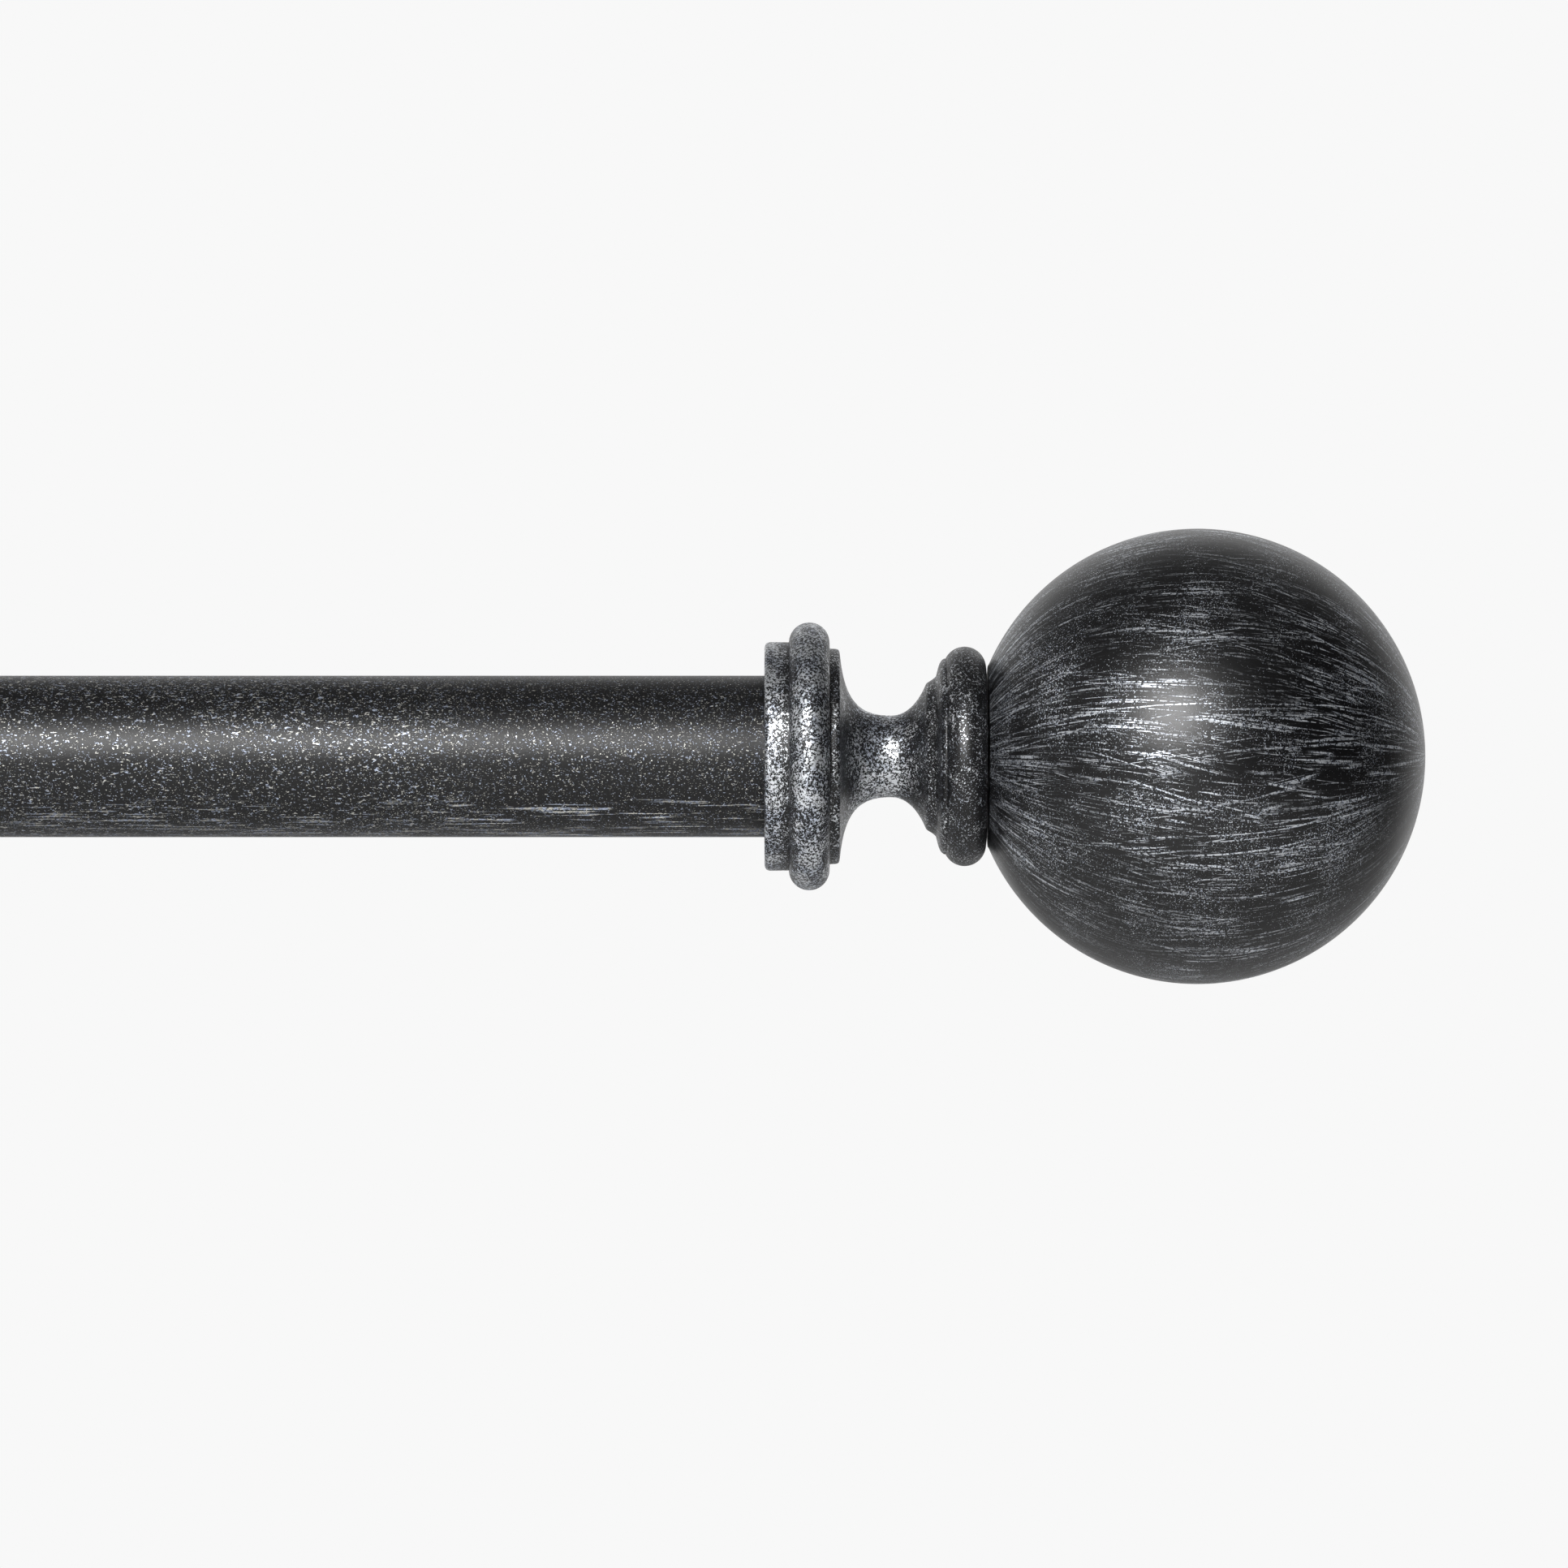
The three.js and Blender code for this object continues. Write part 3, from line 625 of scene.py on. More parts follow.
def ballOutline():
    # a pressed shell with a flat seat and a stud hole; outside and inside are arcs about one centre
    b = finial["ball"]
    hole = finial["studRadius"] + finial["clear"]
    seatInside = b["seat"] + b["wall"]
    inner = b["radius"] - b["wall"]
    angleOut = math.degrees(math.acos((b["seat"] - b["centre"]) / b["radius"]))
    angleIn = math.degrees(math.acos((seatInside - b["centre"]) / inner))
    inside = arc(b["centre"], 0, inner, 0, angleIn, 40)
    outside = arc(b["centre"], 0, b["radius"], angleOut - 0.6, 0, 110)
    inside[0, 1] = 0
    outside[-1, 1] = 0
    seat = eased([[seatInside, hole, 0], [b["seat"], hole, 0.2], [b["seat"], outside[0, 1] - 0.2, 0]])
    return joined(inside, seat, outside)


def threaded(name, start, end, radius, pitch, depth, axes, origin, sides=28, bevel=0.8, plain=()):
    # a screw thread: the radius falls by depth in a rounded groove that climbs one pitch a turn,
    # fades out over a pitch at plain stretches, and the ends are bevelled
    rows = int((end - start) / pitch * 9)
    along = np.linspace(start, end, rows)[:, None] + np.zeros(sides)
    turn = np.arange(sides) / sides
    phase = (along / pitch - turn) % 1
    groove = depth * (0.5 - 0.5 * np.cos(2 * np.pi * phase)) ** 0.8
    for low, high in plain:
        off = np.clip((low - along) / pitch, 0, 1) + np.clip((along - high) / pitch, 0, 1)
        groove = groove * np.clip(off, 0, 1)
    ends = np.minimum(along - start, end - along)
    radii = np.minimum(radius - groove, radius - bevel + ends * bevel / 0.7)
    radii = np.clip(radii, 0.2, radius)
    zero = np.zeros((1, sides))
    along = np.vstack([zero + start, along, zero + end])
    radii = np.vstack([zero, radii, zero])
    return roundSurface(name, along, radii, axes, origin, False)


def hexNut(name, start, thickness, acrossCorners, bore, axes, origin):
    # radius of a hexagon by angle, cut back at both ends by a 30 degree chamfer
    sides = 96
    turn = (np.arange(sides) / sides * 360) % 60 - 30
    flat = acrossCorners / 2 * math.cos(math.radians(30))
    hexagon = flat / np.cos(np.radians(turn))
    depth = np.r_[0, np.linspace(0, 1.2, 7), thickness - np.linspace(1.2, 0, 7), thickness][:, None]
    nearEnd = np.minimum(depth, thickness - depth)
    outside = np.minimum(hexagon[None], flat - 0.25 + nearEnd / math.tan(math.radians(30)))
    outside[0] = outside[-1] = bore + 0.5
    boreRows = np.array([thickness - 0.5, 0.5])[:, None]
    along = start + np.vstack([depth + np.zeros(sides), boreRows + np.zeros(sides)])
    radii = np.vstack([outside, np.full((2, sides), bore)])
    return roundSurface(name, along, radii, axes, origin, True)


def makeFinial(side, collarX, axes, shift):
    origin = [collarX, rodY, rodZ]
    b = finial["ball"]
    neck = turned(side + "NeckTurned", neckOutline(), axes, origin, 144, shift, brushed=finial["brushed"])
    finished(neck, castPaint, side + "_finial", side + "_finial_neck")
    ball = turned(side + "BallShell", ballOutline(), axes, origin, 192, shift)
    finished(ball, ballPaint, side + "_finial", side + "_finial_ball")
    bore = finial["studRadius"] + finial["clear"]
    nut = hexNut(side + "BallNut", b["seat"] + b["wall"] + 0.3, 5, 11.5, bore, axes, origin)
    finished(nut, zinc, side + "_finial", side + "_finial_ball_nut")
    low, high = spanOf(side + "_finial_stud", 0)
    stud = threaded(side + "FinialStud", 0, high - low, finial["studRadius"], finial["pitch"], 0.55,
                    axes, [low if side == "right" else high, rodY, rodZ])
    finished(stud, zinc, side + "_stud", side + "_finial_stud")


makeFinial("right", rightCollar, towardsRight, 0)
makeFinial("left", leftCollar, towardsLeft, 337)
print("finials made")


rod = {
    "outer": {"radius": 12.7, "wall": 0.9},
    "inner": {"radius": 11.1, "wall": 0.75},
    "clear": 0.3,
}


def tubeOutline(start, end, radius, wall):
    # a tube with broken edges, walked round its wall
    inner = radius - wall
    return finely(eased([[start, (inner + radius) / 2, 0], [start, radius, 0.25], [end, radius, 0.25],
                         [end, inner, 0.2], [start, inner, 0.2], [start, (inner + radius) / 2, 0]]), 12)


def makeRod():
    origin = [0, rodY, rodZ]
    outer, inner, clear = rod["outer"], rod["inner"], rod["clear"]
    tube = turned("outerTube", tubeOutline(outerFrom, outerTo, **outer), towardsRight, origin, 160)
    finished(tube, tubePaint, "outer_tube", "outer_rod")
    tube = turned("innerTube", tubeOutline(innerFrom, innerTo, **inner), towardsRight, origin, 144, 900)
    finished(tube, tubePaint, "inner_tube", "inner_rod")

    lip, back = spanOf("outer_rod_mouth_ring", 0)
    bore, outside = inner["radius"] + clear, outer["radius"] + 1
    ring = turned("mouthRing", eased([
        [lip, bore + 0.6, 0], [lip, outside - 0.5, 0.6], [lip + 1.1, outside, 0.4], [back - 0.2, outside, 0],
        [back, outside - 0.2, 0], [back, outer["radius"] + clear, 0.1],
        [outerFrom - clear, outer["radius"] + clear, 0.1], [outerFrom - clear, bore, 0.1],
        [lip + 0.3, bore, 0.2], [lip, bore + 0.6, 0]]), towardsRight, origin, 128)
    finished(ring, blackNylon, "outer_tube", "outer_rod_mouth_ring")

    start, end = spanOf("inner_rod_glide_cap", 0)
    body, flange = inner["radius"] - inner["wall"] - clear, outer["radius"] - outer["wall"] - clear
    cap = turned("glideCap", eased([
        [start, 0, 0], [start, body - 0.6, 0.5], [start + 1, body, 0.3], [innerTo + clear, body, 0.1],
        [innerTo + clear, flange, 0.4], [end, flange, 0.6], [end, body - 2, 0.5], [end - 1.5, body - 3, 0.5],
        [end - 1.5, 0, 0]]), towardsRight, origin, 96)
    finished(cap, blackNylon, "inner_tube", "inner_rod_glide_cap")

    for side, axes, collar, tubeSize, body in (
            ("right", towardsRight, rightCollar, outer, "outer_tube"),
            ("left", towardsLeft, leftCollar, inner, "inner_tube")):
        finished(makePlug(side, axes, collar, tubeSize), blackNylon, body, side + "_end_plug")

    start, end = spanOf("left_end_adapter", 0)
    sleeve = turned("leftAdapter", eased([
        [start, outer["radius"] - 0.6, 0], [start, outer["radius"], 0.3], [end, outer["radius"], 0.5],
        [end, inner["radius"] + clear, 0.2], [start, inner["radius"] + clear, 0.2],
        [start, outer["radius"] - 0.6, 0]]), towardsRight, origin, 128)
    finished(sleeve, blackNylon, "inner_tube", "left_end_adapter")


def makePlug(side, axes, collar, tubeSize):
    # a moulded plug: its radius swells in eight crush ribs round the turn, and its flange caps the tube
    bore = finial["studRadius"] + finial["clear"]
    body = tubeSize["radius"] - tubeSize["wall"] - rod["clear"]
    outline = finely(eased([
        [-17, bore + 0.4, 0], [-17, body - 1, 0.2], [-15.5, body, 0.3], [3.3, body, 0.1],
        [3.3, tubeSize["radius"] - 0.2, 0.1], [4.2, tubeSize["radius"] - 0.2, 0.3], [4.2, bore + 0.5, 0.1],
        [3.7, bore, 0.1], [-16.5, bore, 0.1], [-17, bore + 0.4, 0]]), 1.2)[:-1]
    sides = 128
    turn = 2 * np.pi * np.arange(sides) / sides
    between = (0.5 - 0.5 * np.cos(8 * turn)) ** 2
    isBody = ((outline[:, 0] < 2.6) & (outline[:, 1] > body - 1.2))[:, None]
    radii = outline[:, 1:] - 0.9 * isBody * between
    along = np.repeat(outline[:, :1], sides, 1)
    return roundSurface(side + "EndPlug", along, radii, axes, [collar, rodY, rodZ], True)


makeRod()
print("rod made")


bracket = {
    "plate": {"radius": 23, "thick": 2.5, "hub": 7, "hubEnd": 10.5, "hole": 2.5, "screwZ": 15},
    "sleeve": {"radius": 8.5, "collar": 11, "end": 60, "lockAt": 55},
    "bar": {"radius": 6, "back": 12, "end": 70.7, "tapped": 2.8, "depth": 12},
    "cradle": {"inner": 13, "thick": 3, "halfWidth": 8, "top": 6, "boss": 8, "bossBack": 66, "socket": 5},
    "clear": 0.3,
}
thumb = {"radius": 2, "pitch": 0.7, "knob": 5.5, "height": 5.5, "lobes": 10}
wallScrew = {"radius": 2, "head": 4, "headHeight": 2.2, "tip": 37, "pitch": 1.8}
anchor = {"radius": 4, "flange": 5, "bore": 2.4, "start": 2.2, "length": 32}


def makePlate(side, x):
    p = bracket["plate"]
    plate = turned(side + "WallPlate", finely(eased([
        [0, 0, 0], [0, p["radius"], 0.3], [p["thick"], p["radius"], 0.5], [p["thick"], p["hub"], 0.4],
        [p["hubEnd"], p["hub"], 0.6], [p["hubEnd"], 0, 0]]), 3.7), outFromWall, [x, 0, 0], 96)
    holes = [drill([x, 0, z], outFromWall, p["hole"], -1, p["thick"] + 1)
             for z in (p["screwZ"], -p["screwZ"])]
    carved(plate, holes, "DIFFERENCE")
    finished(plate, zinc, side + "_bracket", side + "_wall_plate")


def makeCover(side, x, shift):
    # a hollow rosette on the finial's lines: band, bead, step, cove and lip, with a wall all the way
    hole = bracket["sleeve"]["radius"] + 0.4
    band = eased([[0, 27.2, 0], [0, 29, 0.35], [3.0, 29, 0.45], [3.1, 28.1, 0]])
    bead = arc(4.0, 25.6, 2.4, 96, -8, 18)
    step = eased([bead[-1].tolist() + [0], [6.5, 23.4, 0.1], [7.2, 23.2, 0.3], [7.35, 22.5, 0]])
    cove = bend([7.35, 22.5], [8.0, 15.5], [10.5, 12.6], [15.5, 12.0])
    lip = arc(17.0, 11.6, 1.5, 160, 0, 14)
    back = eased([[18.5, 11.6, 0], [18.5, hole, 0.3], [14, hole, 0.2], [14, 10.4, 0.2], [13.6, 10.4, 0]])
    inside = bend([13.6, 10.4], [9, 11], [6.4, 14.5], [5.7, 20.8], 14)
    rim = eased([[5.7, 20.8, 0], [4.6, 23, 0.6], [2, 27.2, 0.3], [0, 27.2, 0]])
    outline = joined(band, bead, step, cove, lip, back, inside, rim)
    cover = turned(side + "WallCover", outline, outFromWall, [x, 0, 0], 160, shift)
    finished(cover, castPaint, side + "_cover", side + "_wall_cover")


def makeSleeve(side, x, shift):
    s, p, clear = bracket["sleeve"], bracket["plate"], bracket["clear"]
    start, end = p["thick"] + clear, s["end"]
    bore, hubBore = bracket["bar"]["radius"] + clear, p["hub"] + clear
    outline = joined(
        eased([[start, hubBore, 0], [start, s["radius"], 0.4], [end - 10.8, s["radius"], 0.3],
               [end - 10.2, s["radius"] + 1.3, 0.3], [end - 9.2, s["radius"] + 1.5, 0.3],
               [end - 8.75, 9.9, 0]]),
        arc(end - 6.6, s["collar"] - 1.9, 1.9, 170, 90, 12),
        arc(end - 3.4, s["collar"] - 1.9, 1.9, 90, 10, 12),
        eased([[end - 1.4, 9.8, 0], [end - 0.9, s["radius"] + 0.9, 0.3], [end, s["radius"] + 0.7, 0.4],
               [end, bore, 0.3], [p["hubEnd"] + clear, bore, 0], [p["hubEnd"] + clear, hubBore, 0],
               [start, hubBore, 0.1]]))
    sleeve = turned(side + "ArmSleeve", finely(outline, 3), outFromWall, [x, 0, 0], 112, shift)
    hole = drill([x, -s["lockAt"], 0], upwards, thumb["radius"] + clear, -s["collar"] - 2, 0)
    carved(sleeve, [hole], "DIFFERENCE")
    finished(sleeve, castPaint, side + "_bracket", side + "_arm_sleeve")


def makeBar(side, x, shift):
    b = bracket["bar"]
    outline = eased([[b["back"], 0, 0], [b["back"], b["radius"], 0.6], [b["end"], b["radius"], 0.3],
                     [b["end"], b["tapped"], 0.3], [b["end"] - b["depth"], b["tapped"], 0.1],
                     [b["end"] - b["depth"] - 1, 0, 0]])
    bar = turned(side + "ArmBar", finely(outline, 3), outFromWall, [x, 0, 0], 80, shift)
    finished(bar, castPaint, side + "_arm", side + "_arm_bar")


def cradlePath(middle, top, tip):
    # the centreline of a U open at the top: down one side, half a turn round the rod, up the other,
    # with its half thickness falling to nothing as a half circle at both tips
    rise = np.linspace(0, 1, 14)
    cap = tip * np.sin(np.radians(np.linspace(0, 88, 9)))
    sideZ = np.r_[top + cap[::-1], (top * (1 - rise))[1:]]
    turn = np.radians(np.linspace(180, 360, 64))[1:]
    y = np.r_[np.full(len(sideZ), -middle), middle * np.cos(turn), np.full(len(sideZ) - 1, middle)]
    z = np.r_[sideZ, middle * np.sin(turn), sideZ[::-1][1:]]
    path = np.column_stack([y, z])
    normal = np.where(z[:, None] > 0, np.column_stack([np.sign(y), 0 * y]), path / middle)
    above = np.clip(z - top, 0, tip)
    half = np.sqrt(np.clip(tip**2 - above**2, 0.02, None))
    return path, normal, half


def makeCradle(side, x):
    # the U, a boss behind it for the arm and one under it for the clamp screw, flared into the U
    c, clear = bracket["cradle"], bracket["clear"]
    middle, reach = c["inner"] + c["thick"] / 2, -rodY
    path, normal, half = cradlePath(middle, c["top"], c["thick"] / 2)
    cradle = sweptBar(side + "RodCradle", x, path + [rodY, rodZ], normal, c["halfWidth"], half, 0.9)
    neckAt = reach - c["inner"] - c["thick"]
    backBoss = joined(
        eased([[c["bossBack"], 0, 0], [c["bossBack"], c["boss"], 0.7], [neckAt - 1.6, c["boss"] - 0.4, 0.5]]),
        eased([[neckAt - 1.6, c["boss"] - 0.4, 0], [neckAt + 0.2, c["boss"] - 0.2, 0],
               [neckAt + 2, c["boss"] - 0.5, 0], [neckAt + 2, 0, 0]]))
    lower = eased([[-21, 0, 0], [-21, 5, 0.7], [-17.4, 5, 0.8], [-15.6, 6.2, 0], [-14.2, 6.4, 0],
                   [-14.2, 0, 0]])
    at = [x, rodY, rodZ]
    carved(cradle, [turned("boss", backBoss, outFromWall, [x, 0, 0], 72),
                    turned("boss", lower, upwards, at, 72)], "UNION")
    head = reach - c["inner"] - clear
    seat = [[head - 2.6, 0], [head - 2.6, 2.8], [head - 0.2, 5], [head + 5, 5], [head + 5, 0]]
    cuts = [drill([x, 0, 0], outFromWall, bracket["bar"]["radius"] + clear, c["bossBack"] - 1,
                  c["bossBack"] + c["socket"], 64),
            drill([x, 0, 0], outFromWall, bracket["bar"]["tapped"], c["bossBack"], head + 3),
            turned("cutter", seat, outFromWall, [x, 0, 0], 48),
            drill(at, upwards, thumb["radius"] + clear, -22, -c["inner"] + 2)]
    carved(cradle, cuts, "DIFFERENCE")
    finished(cradle, castPaint, side + "_arm", side + "_rod_cradle")
    fixing = headedScrew(side + "CradleFixingScrew", head, 4.6, 2.1, 2.5, bracket["bar"]["end"] - 10, 0.8,
                         outFromWall, [x, 0, 0], True)
    finished(fixing, zinc, side + "_arm", side + "_cradle_fixing_screw")


def crossRecess(turn, radius, width, length, depth):
    # depth of a cross-shaped driver recess at each polar place: two slots at right angles whose
    # sides and ends slope, deepest at the middle
    across = np.minimum(np.abs(np.sin(turn)), np.abs(np.cos(turn))) * radius
    alongSlot = np.maximum(np.abs(np.sin(turn)), np.abs(np.cos(turn))) * radius
    sideSlope = np.clip((width / 2 - across) / 0.18, 0, 1)
    endSlope = np.clip((length / 2 - alongSlot) / 0.7, 0, 1)
    return depth * sideSlope * endSlope


def headedScrew(name, top, headRadius, headHeight, shank, tip, pitch, axes, origin, sunk):
    # one surface from the head's middle out over its face, down its edge and along the thread to the
    # tip. Its face is pushed in by the driver's cross
    sides = 96
    turn = 2 * np.pi * np.arange(sides) / sides
    faceR = np.linspace(0, headRadius * 0.94, 26)[:, None] + np.zeros(sides)
    dome = 0 if sunk else 0.18 * (1 - (faceR / headRadius) ** 2) * headHeight
    recess = crossRecess(turn, faceR, 1.15, headRadius * 1.15, headHeight * 0.72)
    faceA = top - (0 if sunk else 0.18 * headHeight) + dome - recess
    if sunk:
        edge = eased([[top, headRadius * 0.94, 0], [top - 0.1, headRadius, 0.1], [top - 0.3, headRadius, 0.1],
                      [top - headHeight - 0.2, shank, 0.2]])
    else:
        edge = np.vstack([bend([top - 0.18 * headHeight, headRadius * 0.94],
                               [top - 0.3 * headHeight, headRadius],
                               [top - 0.6 * headHeight, headRadius], [top - headHeight, headRadius], 9),
                          [[top - headHeight, shank + 0.1]]])
    start = edge[-1, 0]
    rows = max(12, int((start - tip) / pitch * 10))
    down = np.linspace(start, tip + 0.02, rows)[:, None] + np.zeros(sides)
    fromTip = down - tip
    taper = 4.5 if not sunk else 0.8
    limit = shank * np.clip(fromTip / taper, 0.04, 1)
    phase = (down / pitch - turn / (2 * np.pi)) % 1
    if sunk:  # a machine thread
        ridge = 0.5 - 0.5 * np.cos(2 * np.pi * phase)
        core = shank * 0.8
    else:  # a wood screw's sharp ridge on a thin core
        ridge = np.clip(1 - np.abs(phase - 0.5) / 0.22, 0, 1)
        core = shank * 0.66
    thread = core + (shank - core) * ridge
    threadOn = np.clip((start - 1.5 - down) / pitch, 0, 1)
    radii = np.minimum(shank + (thread - shank) * threadOn, limit)
    edgeA = edge[:, :1] + np.zeros(sides)
    edgeR = edge[:, 1:] + np.zeros(sides)
    along = np.vstack([faceA, edgeA[1:], down[1:], np.full((1, sides), tip)])
    radius = np.vstack([faceR, edgeR[1:], radii[1:], np.zeros((1, sides))])
    return roundSurface(name, along, radius, axes, origin, False)


def makeThumbScrew(side, use, x, y):
    # a threaded stud, and a knob whose radius ripples in flutes that run out at its bevelled ends
    low, high = spanOf(f"{side}_{use}_screw_stud", 2)
    body = f"{side}_{use}"
    stud = threaded(f"{side}{use.title()}Stud", 0, high - low, thumb["radius"], thumb["pitch"], 0.38, upwards,
                    [x, y, low], 24, 0.4)
    finished(stud, zinc, body + "_stud", f"{side}_{use}_screw_stud")
    low, high = spanOf(f"{side}_{use}_screw_knob", 2)
    sides = 160
    turn = 2 * np.pi * np.arange(sides) / sides
    hole = thumb["radius"] + 0.3
    height = thumb["height"]
    outline = finely(joined(
        [[height - 4.3, 0], [height - 4.3, hole], [height - 0.3, hole]],
        eased([[height - 0.3, hole, 0], [height, hole + 0.3, 0.1], [height, 3.3, 0.3],
               [height - 0.9, 3.6, 0.4], [height - 1.3, thumb["knob"] - 0.6, 0.3],
               [height - 1.9, thumb["knob"], 0.3],
               [0.7, thumb["knob"], 0.3], [0, thumb["knob"] - 0.8, 0.3], [0, 2.6, 0.3], [0.35, 2.2, 0.2]]),
        [[0.35, 0]]), 0.35)
    near = np.clip((outline[:, 1] - (thumb["knob"] - 1.0)) / 0.8, 0, 1)[:, None]
    radii = outline[:, 1:] - near * 0.55 * (0.5 - 0.5 * np.cos(thumb["lobes"] * turn)) ** 1.5
    along = np.repeat(outline[:, :1], sides, 1)
    raised = np.clip(0.35 + 0.5 * near[:, 0], 0, 1)
    knob = roundSurface(f"{side}{use.title()}Knob", along, radii, upwards, [x, y, low], False, raised)
    finished(knob, castPaint, body + "_knob", f"{side}_{use}_screw_knob")


def makeWallFixings(side, x):
    p = bracket["plate"]
    for level, z in (("upper", p["screwZ"]), ("lower", -p["screwZ"])):
        top = p["thick"] + bracket["clear"] + wallScrew["headHeight"]
        screw = headedScrew(f"{side}WallScrew{level.title()}", top, wallScrew["head"],
                            wallScrew["headHeight"], wallScrew["radius"], -wallScrew["tip"],
                            wallScrew["pitch"], outFromWall, [x, 0, z], False)
        finished(screw, zinc, side + "_bracket", f"{side}_wall_screw_{level}")
        finished(makeAnchor(side, level, x, z), greyNylon, side + "_bracket", f"{side}_wall_anchor_{level}")


def makeAnchor(side, level, x, z):
    # a wall anchor: saw-tooth rings down its length, cut by four grooves round the turn
    a = anchor
    sides = 96
    turn = 2 * np.pi * np.arange(sides) / sides
    start, end = -a["start"], -a["length"]
    body = np.linspace(start - 1.2, end + 0.4, 150)
    tooth = ((body - start) / 2.6) % 1
    ringed = a["radius"] - 0.55 * (1 - tooth)
    ringed = np.minimum(ringed, a["radius"] - 0.9 + np.clip((body - end) / 4, 0, 1) * 0.9)
    flange = eased([[start, a["bore"], 0], [start, a["flange"], 0.2], [start - 1, a["flange"], 0.2],
                    [start - 1, a["radius"], 0]])
    outline = joined([[start, a["bore"]]], flange, np.column_stack([body, ringed]),
                     [[end, a["radius"] - 1.2], [end, a["bore"]]])
    groove = np.clip((0.16 - np.abs(((turn / (np.pi / 2) + 0.5) % 1) - 0.5)) / 0.06, 0, 1)
    onBody = ((outline[:, 0] < start - 1.1) & (outline[:, 1] > a["bore"] + 0.05))[:, None]
    radii = np.maximum(outline[:, 1:] - 0.7 * onBody * groove, a["bore"])
    along = np.repeat(outline[:, :1], sides, 1)
    return roundSurface(f"{side}WallAnchor{level.title()}", along, radii, outFromWall, [x, 0, z], True)


def makeLiner(x):
    # a nylon U that beds the thinner tube, with a rim against each side of the cradle
    c, clear = bracket["cradle"], bracket["clear"]
    inner = rod["inner"]["radius"] + clear
    outside = c["inner"] - clear
    rim, rimThick = 14.5, 1
    halfWidth = c["halfWidth"] + clear + rimThick
    pieces = []
    for near, reach, half, shift, top in (
            (inner, outside, halfWidth - 0.08, 0, 6),
            (inner + 0.25, rim, rimThick / 2, halfWidth - rimThick / 2, 5),
            (inner + 0.25, rim, rimThick / 2, rimThick / 2 - halfWidth, 5)):
        path, normal, thick = cradlePath((near + reach) / 2, top - (reach - near) / 2, (reach - near) / 2)
        pieces.append(sweptBar("leftCradleLiner", x + shift, path + [rodY, rodZ], normal, half, thick, 0.3,
                               4))
    hole = drill([x, rodY, rodZ], upwards, thumb["radius"] + clear, -14, -inner + 1)
    liner = carved(pieces[0], [hole], "DIFFERENCE")
    facedOut(liner, pieces[1:])  # each rim overlaps the body's end, so they need no boolean
    smoothed(liner)
    finished(liner, blackNylon, "left_arm", "left_cradle_liner")


for side, shift in (("right", 0), ("left", 211)):
    x = bracketX[side]
    makePlate(side, x)
    makeCover(side, x, shift)
    makeSleeve(side, x, shift + 40)
    makeBar(side, x, shift + 120)
    makeCradle(side, x)
    makeThumbScrew(side, "clamp", x, rodY)
    makeThumbScrew(side, "lock", x, -bracket["sleeve"]["lockAt"])
    makeWallFixings(side, x)
    print(side, "bracket made")
makeLiner(bracketX["left"])


studio = {
    "background": "#f8f8f8",
    "floorGlow": 0.86,
    "floorDrop": 450,  # mm, from the rod's axis to the floor
    "key": {"at": (-520, -1900, 790), "size": (1000, 1000), "power": 64},
    "cameraRight": 3.06,  # mm, from the collar's open face to the middle of the picture
    "cameraDown": 4.34,  # mm, from the rod's axis down to it
    "pictureWidth": 246.6,  # mm at the rod's axis
    "distance": 1200,
}


def makeWorld():
    # the camera sees plain pale paper; the object is lit by a bright sweep behind it that fades
    # to a dim room in front
    world = bpy.data.worlds.new("pale studio")
    bpy.context.scene.world = world
    world.use_nodes = True
    tree = world.node_tree
    tree.nodes.clear()
    direction = addNode(tree, "TexCoord", out="Generated")
    split = addNode(tree, "SeparateXYZ", direction).node
    across, away, up = split.outputs
    behind = addNode(tree, "MapRange", away, 0.38, 0.94, 0.0, 1.0, **smoothStep)
    above = addNode(tree, "MapRange", up, 0.40, 1.0, 0.0, 0.14, **smoothStep)
    below = addNode(tree, "MapRange", up, -0.30, -1.0, 0.0, 0.42, **smoothStep)
    left = addNode(tree, "MapRange", across, -0.60, -1.0, 0.0, 0.40, **smoothStep)
    sides = addNode(tree, "Math", addNode(tree, "Math", above, below, operation="ADD"), left, operation="ADD")
    level = addNode(tree, "Math", addNode(tree, "Math", behind, sides, operation="ADD"), 0.004,
                    operation="ADD")
    seen = addNode(tree, "Background", {"Color": colour(studio["background"]), "Strength": 1.0})
    lit = addNode(tree, "Background", {"Color": colour("#ffffff"), "Strength": level})
    rays = addNode(tree, "LightPath", out="Is Camera Ray")
    mixed = addNode(tree, "MixShader", rays, lit, seen).node
    addNode(tree, "OutputWorld", {"Surface": mixed.outputs[0]})


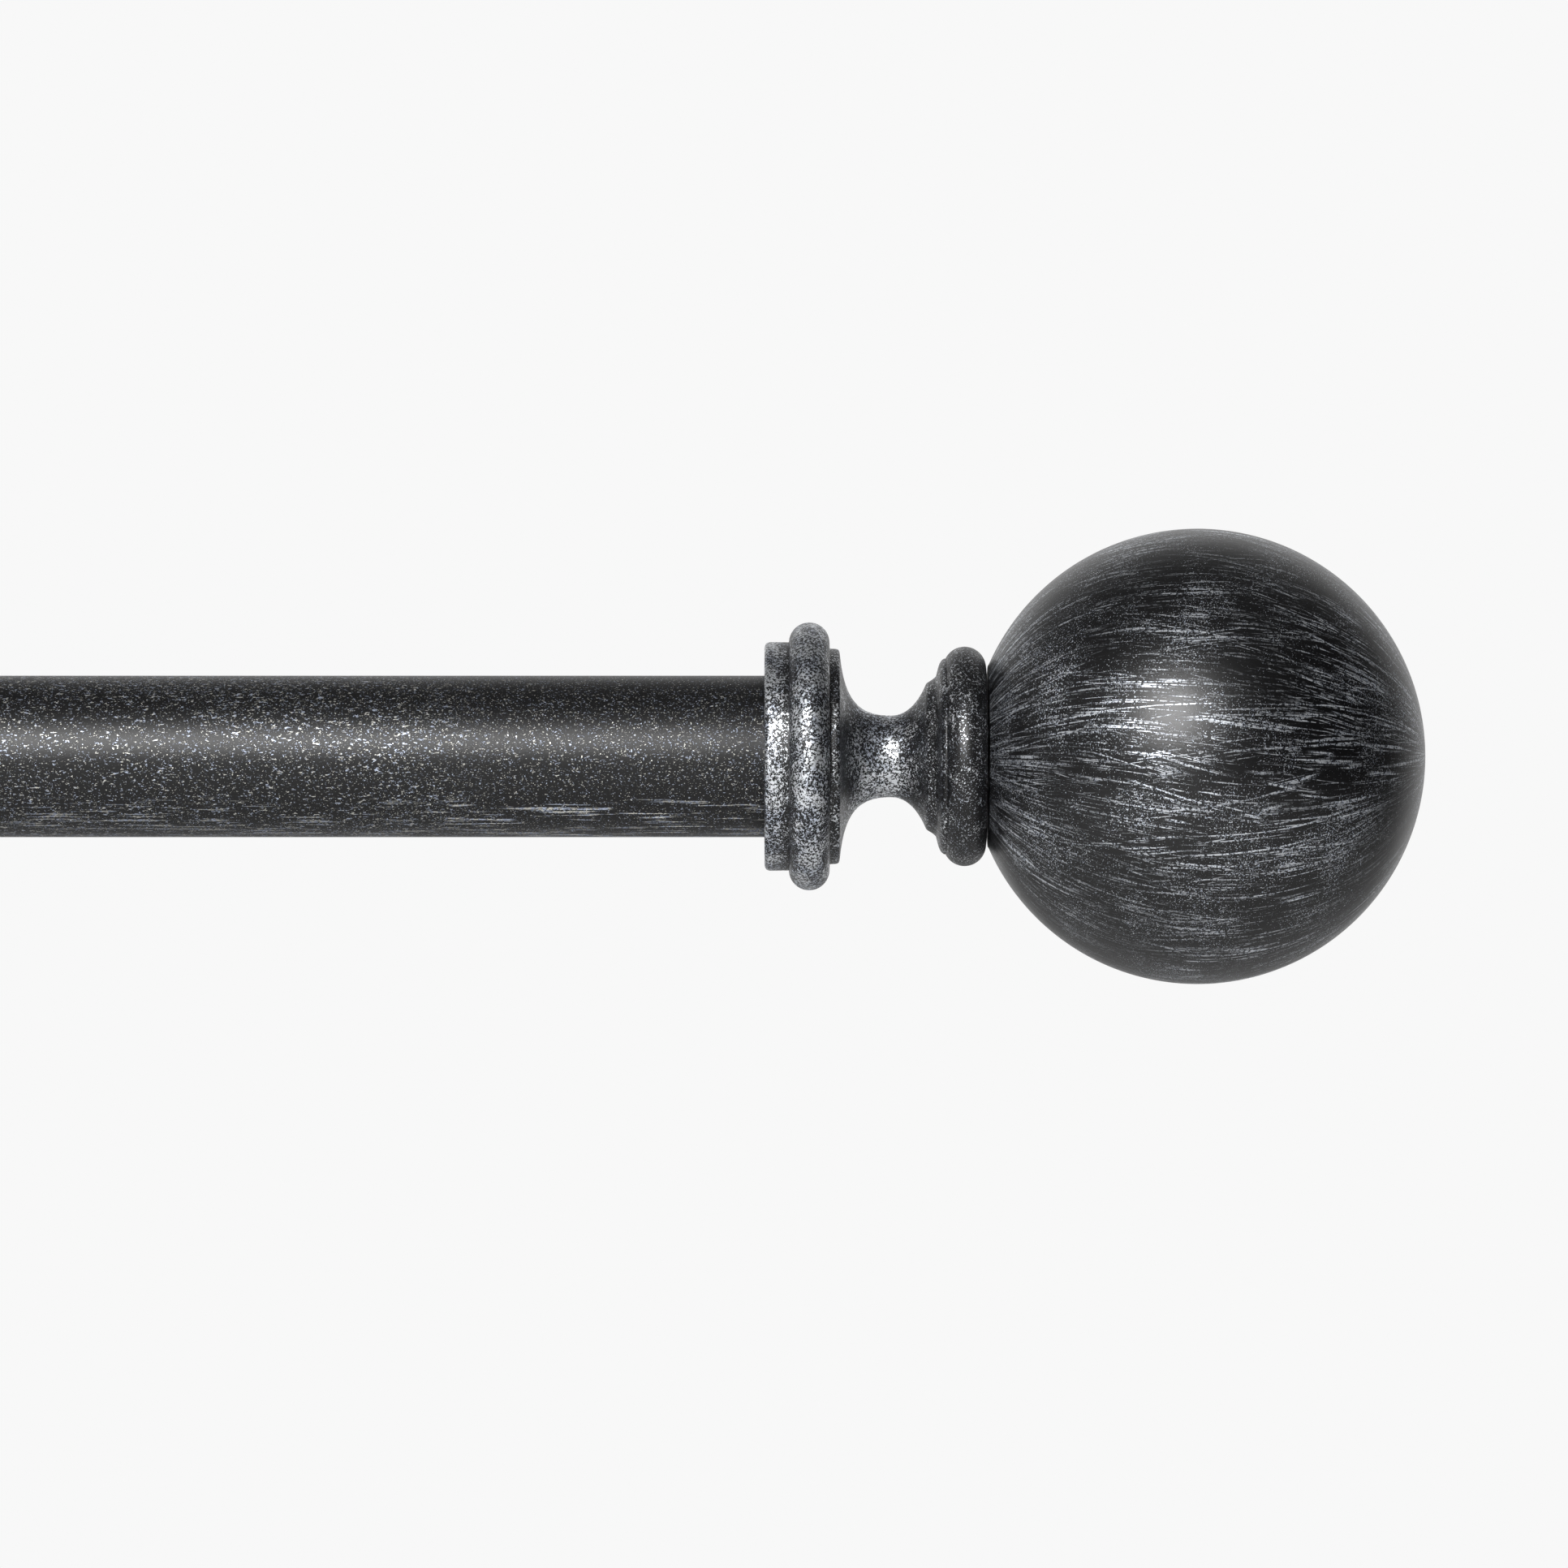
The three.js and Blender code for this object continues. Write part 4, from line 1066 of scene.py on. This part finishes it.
def makeFloor():
    # a plain pale disc that fades out before its edge, so that it never shows as a line
    rows = np.linspace(0, 2900, 40)[1:]
    sides = 96
    turn = 2 * np.pi * np.arange(sides) / sides
    middle = centreOf("outer_rod")
    ringX = middle[0] + rows[:, None] * np.cos(turn)
    ringY = rodY + rows[:, None] * np.sin(turn)
    height = rodZ - studio["floorDrop"]
    points = np.stack([ringX, ringY, np.full_like(ringX, height)], -1).reshape(-1, 3)
    points = np.vstack([points, [middle[0], rodY, height]])
    index = np.arange(rows.size * sides).reshape(rows.size, sides)
    centre = len(points) - 1
    fan = np.stack([np.full(sides, centre), index[0], np.roll(index[0], -1)], -1).tolist()
    floor = pieceFrom("floor", points, fan + quadsOf(index).tolist())
    material, tree, shader = newMaterial("matt pale floor")
    shader.inputs["Roughness"].default_value = 0.9
    place = addNode(tree, "TexCoord", out="Object")
    shifted = addNode(tree, "Mapping", {"Vector": place, "Location": (-middle[0] * metre, -rodY * metre, 0)})
    flat = addNode(tree, "VectorMath", shifted, (1, 1, 0), operation="MULTIPLY")
    far = addNode(tree, "VectorMath", flat, operation="LENGTH")
    tree.links.new(addNode(tree, "MapRange", far, 0.9, 2.7, 1.0, 0.0, **smoothStep), shader.inputs["Alpha"])
    # seen by the camera it glows a little, as an evenly lit paper sweep does
    seen = addNode(tree, "LightPath", out="Is Camera Ray")
    shader.inputs["Emission Color"].default_value = colour(studio["background"])
    tree.links.new(addNode(tree, "Math", seen, studio["floorGlow"], operation="MULTIPLY"),
                   shader.inputs["Emission Strength"])
    tree.links.new(addNode(tree, "Mix", seen, colour("#ececec"), colour("#6e6e6e"), data_type="RGBA"),
                   shader.inputs["Base Color"])
    floor.data.materials.append(material)


def makeLight(name, at, aim, size, power):
    lamp = bpy.data.lights.new(name, "AREA")
    lamp.shape = "ELLIPSE"
    lamp.size, lamp.size_y = size[0] * metre, size[1] * metre
    lamp.energy = power
    light = bpy.data.objects.new(name, lamp)
    bpy.context.scene.collection.objects.link(light)
    start, end = Vector(at) * metre, Vector(aim) * metre
    light.location = start
    light.rotation_euler = (end - start).to_track_quat("-Z", "Y").to_euler()
    return light


def makeCamera():
    cameraData = bpy.data.cameras.new("camera")
    sensor = 36
    cameraData.sensor_width = sensor
    cameraData.lens = sensor * studio["distance"] / studio["pictureWidth"]
    cameraData.clip_end = 50
    camera = bpy.data.objects.new("camera", cameraData)
    camera.location = ((rightCollar + studio["cameraRight"]) * metre, (rodY - studio["distance"]) * metre,
                       (rodZ - studio["cameraDown"]) * metre)
    camera.rotation_euler = (math.pi / 2, 0, 0)
    bpy.context.scene.collection.objects.link(camera)
    bpy.context.scene.camera = camera


makeWorld()
makeFloor()
aim = (rightCollar + 40, rodY, rodZ)
key = studio["key"]
makeLight("key light", [a + b for a, b in zip(aim, key["at"])], aim, key["size"], key["power"])
makeCamera()
bpy.context.scene.view_settings.view_transform = "Standard"
bpy.context.scene.view_settings.look = "None"
print("studio made")
